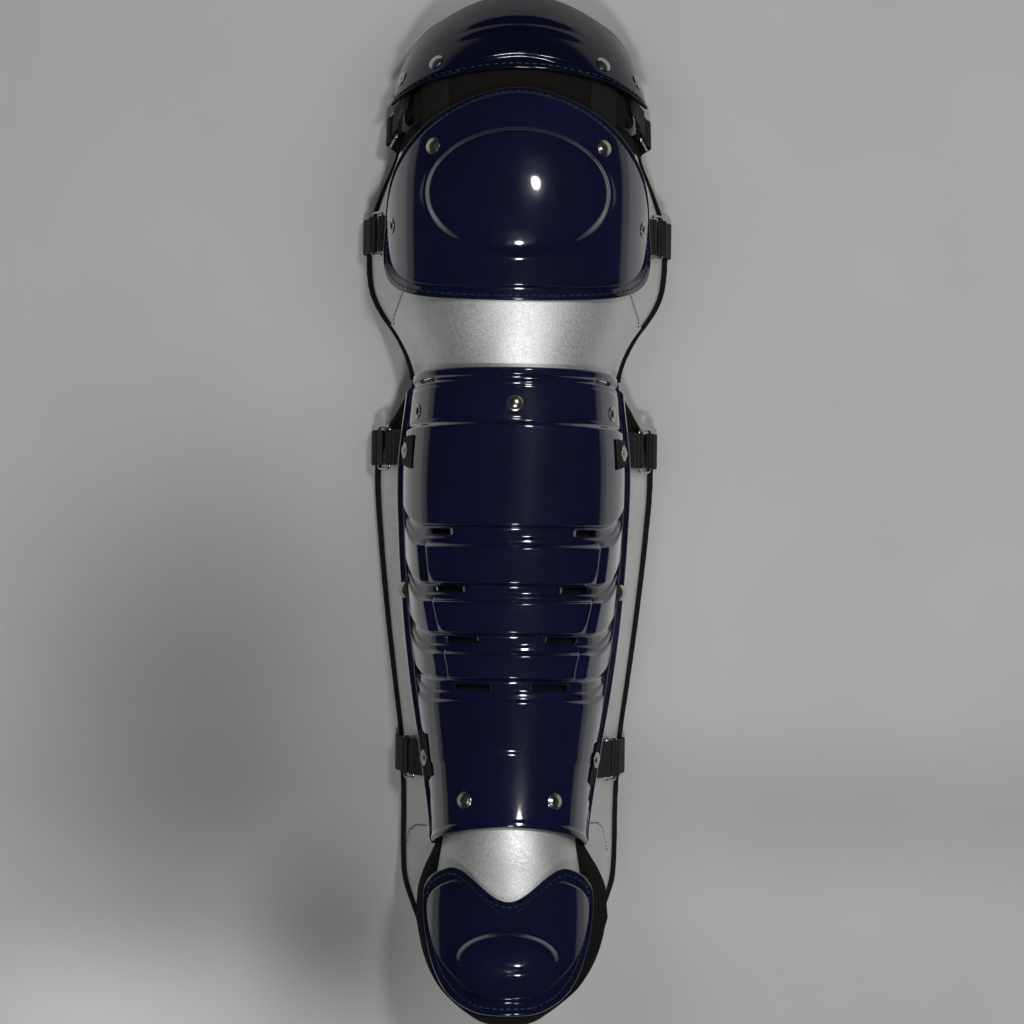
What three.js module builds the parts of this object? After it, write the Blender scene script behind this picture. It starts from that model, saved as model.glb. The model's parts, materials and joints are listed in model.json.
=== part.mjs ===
// Leg guard: hard shells over padding, hinged at the knee by webbing, with four straps behind the leg.
// It lies on its back: +Z is the front of the leg, +Y runs to the thigh and -Y to the toe.
import * as THREE from "three";

// Lengths along the leg, in millimetres
const TOE_CAP_LENGTH = 78;
const INSTEP_LENGTH = 50;
const SHIN_LENGTH = 305;
const BAND_LENGTH = 44;
const KNEE_CAP_LENGTH = 140;
const HINGE_LENGTH = 15;
const THIGH_CAP_LENGTH = 72;

// Sizes across the leg
const HALF_WIDTH = 80;
const DEPTH = 66;
const BRIM = 12;
const BODY_TURN = THREE.MathUtils.degToRad(78);
const BRIM_TURN = THREE.MathUtils.degToRad(45);
const BEND_SOFTNESS = 1.5;

// Where the leg form stands: the crest of the shin over the floor, and its place along Y
const CREST_HEIGHT = 98;
const CREST_STATION = 0.492 * SHIN_LENGTH;
const CREST_Y = -66.67;

// Thicknesses and gaps
const SHELL_WALL = 2.8;
const SHELL_LIFT = 7;
const PAD_THICKNESS = 10;
const WING_THICKNESS = 5;
const PAD_ROUNDING = 1.2;
const PANEL_LOW = 0.75;
const PANEL_HIGH = 1.85;
const WEB_LOW = 2.15;
const WEB_HIGH = 3.15;
const SMALL_GAP = 0.35;
const WING_REST = 8.5;
const TUCK = 9;
const PAD_APART = 4;

// Stations along the leg, from the lower end of the shin shell
const SHIN_TOP = SHIN_LENGTH;
const KNEE_LOW = SHIN_TOP + BAND_LENGTH;
const KNEE_TOP = KNEE_LOW + KNEE_CAP_LENGTH;
const THIGH_LOW = KNEE_TOP + HINGE_LENGTH;
const THIGH_TOP = THIGH_LOW + THIGH_CAP_LENGTH;
const TOE_TOP = -INSTEP_LENGTH;
const TOE_TIP = TOE_TOP - TOE_CAP_LENGTH;

// How far the table of sections runs on past the toe and the thigh
const SECTION_END = 20;

// Cross sections from toe to thigh: lean in degrees, the half width, depth and brim as shares of
// HALF_WIDTH, DEPTH and BRIM, and the outward turn of the side wings in degrees
const SECTIONS = [
  { at: TOE_TIP - SECTION_END, lean: -34, half: 0.56, deep: 0.515, brim: 0, wing: 20 },
  { at: TOE_TIP, lean: -33, half: 0.59, deep: 0.545, brim: 0, wing: 20 },
  { at: TOE_TOP, lean: -24, half: 0.64, deep: 0.605, brim: 0, wing: 17 },
  { at: 0.5 * TOE_TOP, lean: -18, half: 0.615, deep: 0.605, brim: 0, wing: 21 },
  { at: 0, lean: -12, half: 0.565, deep: 0.605, brim: 0.4, wing: 21 },
  { at: 0.165 * SHIN_TOP, lean: -5, half: 0.615, deep: 0.65, brim: 0.85, wing: 20 },
  { at: 0.31 * SHIN_TOP, lean: -1, half: 0.7, deep: 0.73, brim: 1, wing: 21 },
  { at: 0.46 * SHIN_TOP, lean: 0, half: 0.775, deep: 0.82, brim: 1, wing: 23 },
  { at: 0.625 * SHIN_TOP, lean: 0, half: 0.825, deep: 0.88, brim: 1, wing: 26 },
  { at: 0.785 * SHIN_TOP, lean: 0, half: 0.84, deep: 0.895, brim: 1, wing: 29 },
  { at: 0.935 * SHIN_TOP, lean: 1, half: 0.8, deep: 0.88, brim: 0.75, wing: 30 },
  { at: SHIN_TOP, lean: 3, half: 0.8, deep: 0.88, brim: 0.5, wing: 24 },
  { at: KNEE_LOW - 0.32 * BAND_LENGTH, lean: 8, half: 0.94, deep: 0.94, brim: 0, wing: 27 },
  { at: KNEE_LOW, lean: 9, half: 0.99, deep: 1, brim: 0, wing: 27 },
  { at: KNEE_LOW + 0.32 * KNEE_CAP_LENGTH, lean: 5, half: 1.025, deep: 1.075, brim: 0, wing: 24 },
  { at: KNEE_LOW + 0.63 * KNEE_CAP_LENGTH, lean: -4, half: 1.025, deep: 1.075, brim: 0, wing: 17 },
  { at: KNEE_TOP, lean: -25, half: 0.985, deep: 1.015, brim: 0, wing: 12 },
  { at: THIGH_LOW + 0.08 * THIGH_CAP_LENGTH, lean: -32, half: 0.99, deep: 0.955, brim: 0, wing: 12 },
  { at: THIGH_TOP, lean: -58, half: 0.91, deep: 0.88, brim: 0, wing: 10 },
  { at: THIGH_TOP + SECTION_END, lean: -62, half: 0.88, deep: 0.85, brim: 0, wing: 10 },
];

// How far the wing edges rise off their rest, along the knee pad and the shin pad, as shares of DEPTH
const KNEE_EDGE = [
  { at: SHIN_TOP - 0.18 * BAND_LENGTH, rise: 0.545 },
  { at: SHIN_TOP + 0.34 * BAND_LENGTH, rise: 0.333 },
  { at: KNEE_LOW - 0.32 * BAND_LENGTH, rise: 0.106 },
  { at: KNEE_LOW, rise: 0.015 },
  { at: KNEE_LOW + 0.2 * KNEE_CAP_LENGTH, rise: 0 },
  { at: KNEE_LOW + 0.43 * KNEE_CAP_LENGTH, rise: 0.045 },
  { at: KNEE_LOW + 0.68 * KNEE_CAP_LENGTH, rise: 0.212 },
  { at: KNEE_LOW + 0.86 * KNEE_CAP_LENGTH, rise: 0.394 },
  { at: KNEE_TOP + 0.4 * HINGE_LENGTH, rise: 0.576 },
];
const SHIN_EDGE = [
  { at: 1.04 * TOE_TOP, rise: 1.06 },
  { at: 0.6 * TOE_TOP, rise: 0.545 },
  { at: 0.24 * TOE_TOP, rise: 0.167 },
  { at: 0.016 * SHIN_TOP, rise: 0.03 },
  { at: 0.25 * SHIN_TOP, rise: 0.023 },
  { at: 0.5 * SHIN_TOP, rise: 0 },
  { at: 0.77 * SHIN_TOP, rise: 0 },
  { at: 0.84 * SHIN_TOP, rise: 0.09 },
  { at: 0.88 * SHIN_TOP, rise: 0.258 },
  { at: 0.945 * SHIN_TOP, rise: 0.545 },
];

// Relief along the middle of the shin shell, over its flat wall
const GROOVE_FLOOR = 0.2;
const PANEL_RISE = 3.2;
const FACE_RISE = 0.9;
const LIP_RISE = 1.4;
const FLANGE_RISE = 0.9;
// The four grooves, low and high edges as shares of the shin length, with the slots in their floors.
// face is the half width of the panel above as a share of the shell's edge, and slotFrom the column
// of the shell's grid where a slot starts.
const GROOVES = [
  { low: 0.275, slotLow: 0.298, slotHigh: 0.313, high: 0.325, face: 0.43, slotFrom: 1 },
  { low: 0.377, slotLow: 0.4, slotHigh: 0.415, high: 0.423, face: 0.48, slotFrom: 1 },
  { low: 0.49, slotLow: 0.51, slotHigh: 0.524, high: 0.53, face: 0.54, slotFrom: 2 },
  { low: 0.61, slotLow: 0.634, slotHigh: 0.648, high: 0.656, face: 0.57, slotFrom: 2 },
];
// How far each station climbs towards the sides (lift) or drops in an arch, as shares of the length
const WARPS = [
  { at: 0, lift: 0, arch: 0 },
  { at: 0.08, lift: 0, arch: 0.013 },
  { at: 0.16, lift: 0.006, arch: 0.04 },
  { at: 0.23, lift: 0.02, arch: 0.016 },
  { at: 0.3, lift: 0.036, arch: 0 },
  { at: 0.4, lift: 0.052, arch: 0 },
  { at: 0.51, lift: 0.066, arch: 0 },
  { at: 0.635, lift: 0.056, arch: 0 },
  { at: 0.77, lift: 0.02, arch: 0 },
  { at: 0.86, lift: 0, arch: 0.013 },
  { at: 0.89, lift: 0, arch: 0.018 },
  { at: 0.965, lift: 0, arch: 0.003 },
  { at: 1, lift: 0, arch: 0 },
];
const FACE_SIDE = 0.56;
const WALL_SIDE = 0.88;

// The rest of the hardware
const RIVET_RADIUS = 5.4;
const RIVET_HEIGHT = 1.7;
const RIVET_SIDES = 9;
const WEB_WIDTH = 24;
const WEB_THICKNESS = 1.4;
const WIRE_RADIUS = 1.25;
const WIRE_SIDES = 5;
const LOOP_WIDTH = 29;
const LOOP_HEIGHT = 12;
const LOOP_CORNER = 2.5;
const FOLD_LENGTH = 9;
const FOLD_STEPS = 6;
const FOLD_CLEAR = 0.6;

// A smooth curve through the rows of a table, with one value for each of its other columns
function along(rows, at) {
  const last = rows.length - 1;
  const x = THREE.MathUtils.clamp(at, rows[0].at, rows[last].at);
  let i = rows.findIndex((row) => row.at > x) - 1;
  if (i < 0) i = last - 1;
  const step = rows[i + 1].at - rows[i].at;
  const u = (x - rows[i].at) / step;
  const slope = (k, name) => {
    const before = rows[Math.max(k - 1, 0)];
    const after = rows[Math.min(k + 1, last)];
    return (after[name] - before[name]) / (after.at - before.at);
  };
  const out = {};
  for (const name of Object.keys(rows[0]).filter((key) => key !== "at")) {
    out[name] =
      (2 * u ** 3 - 3 * u ** 2 + 1) * rows[i][name] +
      (u ** 3 - 2 * u ** 2 + u) * step * slope(i, name) +
      (3 * u ** 2 - 2 * u ** 3) * rows[i + 1][name] +
      (u ** 3 - u ** 2) * step * slope(i + 1, name);
  }
  return out;
}

function section(v) {
  const row = along(SECTIONS, v);
  const half = row.half * HALF_WIDTH;
  const deep = row.deep * DEPTH;
  return {
    half,
    deep,
    brim: Math.max(0, row.brim * BRIM),
    lean: THREE.MathUtils.degToRad(row.lean),
    wing: THREE.MathUtils.degToRad(row.wing),
    body: (BODY_TURN * (half + deep)) / 2,
  };
}

// The crest line of the leg, stepped along by its lean
function crestLine() {
  const first = Math.ceil(SECTIONS[0].at);
  const last = Math.floor(SECTIONS[SECTIONS.length - 1].at);
  const line = [{ y: 0, z: 0 }];
  for (let v = first; v < last; v += 1) {
    const { lean } = section(v + 0.5);
    const { y, z } = line[line.length - 1];
    line.push({ y: y + Math.cos(lean), z: z + Math.sin(lean) });
  }
  const place = (v) => {
    const k = THREE.MathUtils.clamp(v - first, 0, line.length - 1.001);
    const i = Math.floor(k);
    const u = k - i;
    return {
      y: THREE.MathUtils.lerp(line[i].y, line[i + 1].y, u),
      z: THREE.MathUtils.lerp(line[i].z, line[i + 1].z, u),
    };
  };
  const origin = place(CREST_STATION);
  return (v) => {
    const { y, z } = place(v);
    return { y: y - origin.y + CREST_Y, z: z - origin.z + CREST_HEIGHT };
  };
}
const crest = crestLine();

// The bare form that all the pads share, at station v and arc place p across the leg: half an
// ellipse, then the brim, then the straight wing
function bareForm(v, p) {
  const s = section(v);
  const radius = (s.half + s.deep) / 2;
  let x = 0;
  let drop = 0;
  const spread = [-2, -1, 0, 1, 2];
  for (const k of spread) {
    const q = p + k * BEND_SOFTNESS;
    const arc = Math.abs(q);
    const turn = Math.min(arc, s.body) / radius;
    const onBrim = THREE.MathUtils.clamp(arc - s.body, 0, s.brim);
    const onWing = Math.max(arc - s.body - s.brim, 0);
    const out = Math.sin(BRIM_TURN) * onBrim + Math.sin(s.wing) * onWing;
    x += (Math.sign(q) * (s.half * Math.sin(turn) + out)) / spread.length;
    const down = Math.cos(BRIM_TURN) * onBrim + Math.cos(s.wing) * onWing;
    drop += (s.deep * (1 - Math.cos(turn)) + down) / spread.length;
  }
  const { y, z } = crest(v);
  return new THREE.Vector3(x, y + Math.sin(s.lean) * drop, z - Math.cos(s.lean) * drop);
}

function outward(v, p) {
  const across = bareForm(v, p + 0.5).sub(bareForm(v, p - 0.5));
  const up = bareForm(v + 0.5, p).sub(bareForm(v - 0.5, p));
  return across.cross(up).normalize();
}

function form(v, p, lift) {
  return bareForm(v, p).addScaledVector(outward(v, p), lift);
}

// The arc place of the shells' edge, and of the wing's edge at rest
function shellEdge(v) {
  const s = section(v);
  return s.body + s.brim;
}

function wingEdge(v, edgeTable) {
  const s = section(v);
  const start = shellEdge(v);
  const height = bareForm(v, start).z - WING_REST - along(edgeTable, v).rise * DEPTH;
  return start + height / (Math.cos(s.wing) * Math.cos(s.lean));
}

// A closed body from matching outer and inner points, and the faces of its outer side
function slab(outer, inner, faces) {
  const count = outer.length;
  const triangles = [];
  const open = new Map();
  for (const face of faces) {
    for (let k = 1; k + 1 < face.length; k += 1) {
      const [a, b, c] = [face[0], face[k], face[k + 1]];
      triangles.push([a, b, c], [c + count, b + count, a + count]);
    }
    face.forEach((a, k) => {
      const b = face[(k + 1) % face.length];
      if (!open.delete(`${b},${a}`)) open.set(`${a},${b}`, [a, b]);
    });
  }
  for (const [a, b] of open.values()) {
    triangles.push([b, a, a + count], [b, a + count, b + count]);
  }
  return triangleGeometry([...outer, ...inner], triangles);
}

function triangleGeometry(points, triangles) {
  const geometry = new THREE.BufferGeometry();
  const position = new Float32Array(triangles.length * 9);
  triangles.flat().forEach((index, k) => points[index].toArray(position, 3 * k));
  geometry.setAttribute("position", new THREE.BufferAttribute(position, 3));
  geometry.computeVertexNormals();
  return geometry;
}

// A slab over a grid of rows along the leg and columns across it. place(row, column) gives
// { v, p, high, low }, and open(row, column) is true for a cell that is cut through.
function gridSlab(rows, columns, place, open = () => false) {
  const outer = [];
  const inner = [];
  for (let i = 0; i < rows; i += 1) {
    for (let j = 0; j < columns; j += 1) {
      const { v, p, high, low } = place(i, j);
      outer.push(form(v, p, high));
      inner.push(form(v, p, low));
    }
  }
  const faces = [];
  for (let i = 0; i + 1 < rows; i += 1) {
    for (let j = 0; j + 1 < columns; j += 1) {
      const a = i * columns + j;
      if (!open(i, j)) faces.push([a, a + 1, a + 1 + columns, a + columns]);
    }
  }
  return slab(outer, inner, faces);
}

// A slab of rings round a centre. place(ring, turn) gives { v, p, high, low }.
function ringSlab(rings, sides, centre, place) {
  const outer = [form(centre.v, centre.p, centre.high)];
  const inner = [form(centre.v, centre.p, centre.low)];
  const faces = [];
  for (let i = 0; i < rings; i += 1) {
    for (let j = 0; j < sides; j += 1) {
      const { v, p, high, low } = place(i, (2 * Math.PI * j) / sides);
      outer.push(form(v, p, high));
      inner.push(form(v, p, low));
      const here = 1 + i * sides + j;
      const next = 1 + i * sides + ((j + 1) % sides);
      if (i === 0) faces.push([0, here, next]);
      else faces.push([here - sides, here, next, next - sides]);
    }
  }
  return slab(outer, inner, faces);
}

function mirroredShares(shares) {
  return [...shares.slice(1).map((share) => -share).reverse(), ...shares];
}

// Shin shell
const SHIN_ROWS = [0, 0.02, 0.04, 0.115, 0.14, 0.165]
  .concat(GROOVES.flatMap((g) => [g.low, g.low + 0.01, g.slotLow, g.slotHigh, g.high]))
  .concat([0.76, 0.87, 0.885, 0.96, 0.972, 1]);
const INNER_COLUMNS = [0, 0.3, 0.6, 0.9, 1];
const OUTER_COLUMNS = [0.72, WALL_SIDE - 0.02, 0.905, 0.95, 1];

function faceShare(share) {
  const middles = GROOVES.map((g) => ({ at: g.high, face: g.face }));
  return along([{ at: 0, face: FACE_SIDE }, ...middles, { at: 1, face: FACE_SIDE }], share).face;
}

function warped(share, side) {
  const { lift, arch } = along(WARPS, share);
  const climb = THREE.MathUtils.clamp((Math.abs(side) - FACE_SIDE) / (WALL_SIDE - FACE_SIDE), 0, 1);
  return (share + lift * climb ** 2.2 - arch * side ** 2) * SHIN_LENGTH;
}

function shinRise(share, side) {
  const across = Math.abs(side);
  if (across > WALL_SIDE) {
    const ridge = (across - WALL_SIDE) / (1 - WALL_SIDE);
    return FLANGE_RISE * Math.sin(2 * Math.PI * ridge) ** 2;
  }
  if (share < 0.03) return 0;
  if (share > 0.965) return LIP_RISE;
  const inGroove = GROOVES.some((g) => share > g.low + 0.005 && share < g.high - 0.005);
  if (inGroove) return GROOVE_FLOOR;
  const onFace = share > GROOVES[0].high - 0.01 && share < GROOVES[3].low + 0.01;
  const edge = THREE.MathUtils.smoothstep(across, WALL_SIDE - 0.03, WALL_SIDE);
  const panel = share > 0.13 && share < 0.88 ? PANEL_RISE : PANEL_RISE / 2;
  const face = onFace && across < faceShare(share) + 0.01 ? FACE_RISE : 0;
  return (panel + face) * (1 - edge);
}

function shinPlace(share, side) {
  const v = warped(share, side);
  const p = side * shellEdge(v);
  const high = SHELL_LIFT + shinRise(share, side);
  return { v, p, high, low: high - SHELL_WALL };
}

function shinShell() {
  const sides = (share) => {
    const inner = INNER_COLUMNS.map((column) => column * faceShare(share));
    return mirroredShares([...inner, ...OUTER_COLUMNS]);
  };
  const middle = INNER_COLUMNS.length + OUTER_COLUMNS.length - 1;
  const slotted = (i, j) => {
    const groove = GROOVES.find((g) => g.slotLow === SHIN_ROWS[i]);
    const column = j >= middle ? j - middle : middle - 1 - j;
    return groove !== undefined && column >= groove.slotFrom && column < INNER_COLUMNS.length - 2;
  };
  const place = (i, j) => shinPlace(SHIN_ROWS[i], sides(SHIN_ROWS[i])[j]);
  return gridSlab(SHIN_ROWS.length, 2 * middle + 1, place, slotted);
}

// A rounded outline round a centre, with its own reach and squareness above and below
function outlinePoint(outline, turn) {
  const c = Math.cos(turn);
  const s = Math.sin(turn);
  const reach = s > 0 ? outline.up : outline.down;
  const power = s > 0 ? outline.upPower : outline.downPower;
  const grow = (Math.abs(c) ** power + Math.abs(s) ** power) ** (-1 / power);
  return { p: outline.half * c * grow, v: outline.v + reach * s * grow };
}

// A cap's rings: reach goes from 0 to 1 over the boss, and from 1 to 2 from its foot to the outline
function capShell(outline, boss, rings) {
  const place = (i, turn) => {
    const { reach, rise } = rings[i];
    const foot = outlinePoint(boss, turn);
    const edge = outlinePoint(outline, turn);
    const high = SHELL_LIFT + rise;
    const low = high - SHELL_WALL;
    if (reach <= 1) {
      return { v: boss.v + (foot.v - boss.v) * reach, p: foot.p * reach, high, low };
    }
    const out = reach - 1;
    return { v: foot.v + (edge.v - foot.v) * out, p: foot.p + (edge.p - foot.p) * out, high, low };
  };
  const top = SHELL_LIFT + rings[0].rise + boss.dome;
  const centre = { v: boss.v, p: 0, high: top, low: top - SHELL_WALL };
  return ringSlab(rings.length, CAP_SIDES, centre, place);
}

const KNEE_OUTLINE = {
  v: KNEE_LOW + 0.365 * KNEE_CAP_LENGTH,
  half: 1.2875 * HALF_WIDTH,
  up: 0.635 * KNEE_CAP_LENGTH,
  down: 0.365 * KNEE_CAP_LENGTH,
  upPower: 1.55,
  downPower: 4.2,
};
const KNEE_BOSS = {
  v: KNEE_LOW + 0.505 * KNEE_CAP_LENGTH,
  half: 0.7 * HALF_WIDTH,
  up: 0.286 * KNEE_CAP_LENGTH,
  down: 0.293 * KNEE_CAP_LENGTH,
  upPower: 2,
  downPower: 2,
  dome: 1.2,
};
const KNEE_BOSS_RISE = 8.6;
const KNEE_RINGS = [
  { reach: 0.45, rise: KNEE_BOSS_RISE },
  { reach: 0.78, rise: 7.6 },
  { reach: 0.92, rise: 5.8 },
  { reach: 1, rise: 2.6 },
  { reach: 1.45, rise: 2.8 },
  { reach: 1.8, rise: 2.4 },
  { reach: 1.86, rise: 0 },
  { reach: 2, rise: 0 },
];
const THIGH_OUTLINE = {
  v: THIGH_LOW + 0.36 * THIGH_CAP_LENGTH,
  half: 1.2375 * HALF_WIDTH,
  up: 0.64 * THIGH_CAP_LENGTH,
  down: 0.36 * THIGH_CAP_LENGTH,
  upPower: 2.6,
  downPower: 4,
};
const THIGH_MIDDLE = {
  v: THIGH_LOW + 0.45 * THIGH_CAP_LENGTH,
  half: 0.75 * HALF_WIDTH,
  up: 0.278 * THIGH_CAP_LENGTH,
  down: 0.278 * THIGH_CAP_LENGTH,
  upPower: 2,
  downPower: 3,
  dome: 0.5,
};
const THIGH_RINGS = [
  { reach: 0.5, rise: 3.4 },
  { reach: 1, rise: 3.2 },
  { reach: 1.45, rise: 3 },
  { reach: 1.72, rise: 2.4 },
  { reach: 1.8, rise: 0 },
  { reach: 2, rise: 0 },
];

const CAP_SIDES = 32;
const TOE_SIDES = 26;

// The toe cap's upper edge dips in the middle, between its two ears
const TOE_HALF = 0.72 * HALF_WIDTH;
const TOE_EAR = 0.54 * INSTEP_LENGTH;
const TOE_WAIST = 0.16 * INSTEP_LENGTH;
function toeEdge(turn, grow) {
  const c = Math.cos(turn);
  const s = Math.sin(turn);
  const side = Math.sign(c) * Math.abs(c) ** 1.1;
  const p = (TOE_HALF + 1.5 * grow) * side;
  const below = TOE_TOP + TOE_WAIST;
  if (s < 0) return { p, v: below - (below - TOE_TIP + grow) * Math.abs(s) ** 1.54 };
  const ear = THREE.MathUtils.smoothstep(Math.abs(side), 0, 0.62);
  const top = TOE_TOP + TOE_EAR * ear;
  return { p, v: below + (top - below) * Math.abs(s) ** 0.5 };
}
const TOE_BOSS = {
  v: TOE_TOP - 0.47 * TOE_CAP_LENGTH,
  half: 0.33 * HALF_WIDTH,
  up: 0.185 * TOE_CAP_LENGTH,
  down: 0.18 * TOE_CAP_LENGTH,
  upPower: 2,
  downPower: 2,
  dome: 0.5,
};
const TOE_RINGS = [
  { reach: 0.7, rise: 7 },
  { reach: 1, rise: 3 },
  { reach: 1.3, rise: 3 },
  { reach: 1.54, rise: 2.6 },
  { reach: 1.62, rise: 0 },
  { reach: 2, rise: 0 },
];

function toeCap() {
  const place = (i, turn) => {
    const { reach, rise } = TOE_RINGS[i];
    const foot = outlinePoint(TOE_BOSS, turn);
    const edge = toeEdge(turn, 0);
    const inside = Math.min(reach, 1);
    const out = Math.max(reach - 1, 0);
    const v = TOE_BOSS.v + (foot.v - TOE_BOSS.v) * inside;
    const p = foot.p * inside;
    const high = SHELL_LIFT + rise;
    const low = high - SHELL_WALL;
    return { v: v + (edge.v - v) * out, p: p + (edge.p - p) * out, high, low };
  };
  const top = SHELL_LIFT + TOE_RINGS[0].rise + TOE_BOSS.dome;
  const centre = { v: TOE_BOSS.v, p: 0, high: top, low: top - SHELL_WALL };
  return ringSlab(TOE_RINGS.length, TOE_SIDES, centre, place);
}

// Pads
const BODY_COLUMNS = [0, 0.2, 0.4, 0.6, 0.8, 1];

function padThickness(v, p) {
  const out = THREE.MathUtils.smoothstep(Math.abs(p), 0.8 * shellEdge(v), 1.25 * shellEdge(v));
  return THREE.MathUtils.lerp(PAD_THICKNESS, WING_THICKNESS, out);
}

function padPlace(v, p, edge) {
  const round = edge ? PAD_ROUNDING : 0;
  return { v, p, high: -round, low: round - padThickness(v, p) };
}

// Even steps from 0 to 1, drawn closer together at both ends
function closerAtEnds(step) {
  return step - (0.45 * Math.sin(2 * Math.PI * step)) / (2 * Math.PI);
}

// A pad with both wings: three columns past the body, for the brim, the middle and the edge of the
// wing. span gives the stations of a column's two ends, with columns counted from the middle.
const WING_COLUMNS = 3;
function wingedPad(rows, edgeTable, span) {
  const middle = BODY_COLUMNS.length - 1 + WING_COLUMNS;
  const across = (v, k) => {
    if (k < BODY_COLUMNS.length) return BODY_COLUMNS[k] * section(v).body;
    const start = shellEdge(v) + 2;
    const out = (k - BODY_COLUMNS.length) / (WING_COLUMNS - 1);
    return THREE.MathUtils.lerp(start, wingEdge(v, edgeTable), out);
  };
  const place = (i, j) => {
    const k = Math.abs(j - middle);
    const [from, to] = span(k);
    const v = THREE.MathUtils.lerp(from, to, closerAtEnds(i / (rows - 1)));
    const atEdge = k === middle || i === 0 || i === rows - 1;
    return padPlace(v, Math.sign(j - middle) * across(v, k), atEdge);
  };
  return gridSlab(rows, 2 * middle + 1, place);
}

const KNEE_PAD_ROWS = 11;
const KNEE_PAD_LOW = SHIN_TOP - TUCK;
const KNEE_PAD_HIGH = KNEE_TOP - 1;
const TOE_PAD_HIGH = 10;
const SHIN_PAD_ROWS = 14;
const WING_LOW = 1.04 * TOE_TOP;
const WING_HIGH = 0.945 * SHIN_TOP;
const SHIN_PAD_LOW = TOE_PAD_HIGH + PAD_APART;
const SHIN_PAD_LOWS = [
  ...BODY_COLUMNS.slice(1).map(() => SHIN_PAD_LOW),
  0.7 * SHIN_PAD_LOW,
  0.15 * SHIN_PAD_LOW,
  0.84 * WING_LOW,
  WING_LOW,
];
function shinPad() {
  const high = KNEE_PAD_LOW - PAD_APART;
  return wingedPad(SHIN_PAD_ROWS, SHIN_EDGE, (k) => {
    const out = THREE.MathUtils.smoothstep(k, 4, 8);
    return [SHIN_PAD_LOWS[k], THREE.MathUtils.lerp(high, WING_HIGH, out)];
  });
}

function kneePad() {
  return wingedPad(KNEE_PAD_ROWS, KNEE_EDGE, () => [KNEE_PAD_LOW, KNEE_PAD_HIGH]);
}

// The bound edge of a wing
const BINDING_WIDTH = 3.4;
const BINDING_OVER = 0.6;
const BINDING_CLEAR = 4 * SMALL_GAP;
function binding(rows, edgeTable, low, high, side) {
  const place = (i, j) => {
    const v = THREE.MathUtils.lerp(low, high, closerAtEnds(i / (rows - 1)));
    const edge = wingEdge(v, edgeTable) + BINDING_CLEAR;
    const near = (j === 0) === (side > 0);
    const p = side * (near ? edge : edge + BINDING_WIDTH);
    return { v, p, high: BINDING_OVER, low: -WING_THICKNESS - BINDING_OVER };
  };
  return gridSlab(rows, 2, place);
}

// A thin sheet laid over the pads. span gives the stations of its ends in a column, and hem names
// the rows that are folded thick under a shell.
function overlay(rows, columns, reach, span, hem) {
  const sides = mirroredShares(columns);
  const place = (i, j) => {
    const [from, to] = span(Math.abs(sides[j]));
    const v = THREE.MathUtils.lerp(from, to, i / (rows - 1));
    const high = hem?.rows.includes(i) ? hem.high : PANEL_HIGH;
    return { v, p: sides[j] * reach * section(v).body, high, low: PANEL_LOW };
  };
  return gridSlab(rows, sides.length, place);
}

const SHEET_ROWS = 5;
const KNEE_BAND_HEM = { rows: [0], high: 4.4 };
function kneeBand() {
  return overlay(SHEET_ROWS, BODY_COLUMNS, 1, () => [SHIN_TOP - TUCK, KNEE_LOW + TUCK], KNEE_BAND_HEM);
}

const HINGE_COLUMNS = BODY_COLUMNS.slice(0, -1);
function hingePanel() {
  return overlay(SHEET_ROWS - 1, HINGE_COLUMNS, 1, () => [KNEE_TOP - TUCK, THIGH_LOW + TUCK]);
}

const INSTEP_HALF = 0.88;
const INSTEP_COLUMNS = [0, 0.17, 0.34, 0.51, 0.68, 0.84, 1];
const INSTEP_HEM = { rows: [0, SHEET_ROWS - 1], high: 3.55 };
function instepPanel() {
  const span = (side) => {
    const ear = THREE.MathUtils.smoothstep(side, 0, 0.9);
    return [TOE_TOP - TUCK + TOE_EAR * ear * 0.75, TUCK - 0.4 * TUCK * side];
  };
  return overlay(SHEET_ROWS, INSTEP_COLUMNS, INSTEP_HALF, span, INSTEP_HEM);
}

const THIGH_PAD_ROWS = 5;
const THIGH_PAD_TOPS = [0.97, 0.94, 0.88, 0.77, 0.6, 0.36];
function thighPad() {
  const sides = mirroredShares(BODY_COLUMNS);
  const middle = BODY_COLUMNS.length - 1;
  const place = (i, j) => {
    const top = THIGH_LOW + THIGH_PAD_TOPS[Math.abs(j - middle)] * THIGH_CAP_LENGTH;
    const v = THREE.MathUtils.lerp(THIGH_LOW - 5, top, i / (THIGH_PAD_ROWS - 1));
    const atEdge = i === 0 || j === 0 || i === THIGH_PAD_ROWS - 1 || j === sides.length - 1;
    return padPlace(v, sides[j] * (section(v).body + 2), atEdge);
  };
  return gridSlab(THIGH_PAD_ROWS, sides.length, place);
}

const TOE_PAD_RINGS = [0.25, 0.5, 0.75, 0.9, 1];
const TOE_PAD_GROW = 4;
const TOE_PAD_TOP = 0.97 * TOE_HALF;
const TOE_PAD_SIDES = 28;
function toePad() {
  const centre = { v: 1.16 * TOE_TOP, p: 0, high: 0, low: -PAD_THICKNESS };
  const place = (i, turn) => {
    const c = Math.cos(turn);
    const s = Math.sin(turn);
    const lower = toeEdge(turn, TOE_PAD_GROW);
    const square = Math.max(Math.abs(c), Math.abs(s));
    const upper = {
      p: (TOE_PAD_TOP * c) / square,
      v: centre.v + ((TOE_PAD_HIGH - centre.v) * s) / square,
    };
    const below = THREE.MathUtils.smoothstep(-s, -0.35, 0.35);
    const reach = TOE_PAD_RINGS[i];
    const v = THREE.MathUtils.lerp(upper.v, lower.v, below);
    const p = THREE.MathUtils.lerp(upper.p, lower.p, below);
    return padPlace(centre.v + (v - centre.v) * reach, p * reach, reach === 1);
  };
  return ringSlab(TOE_PAD_RINGS.length, TOE_PAD_SIDES, centre, place);
}

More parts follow.
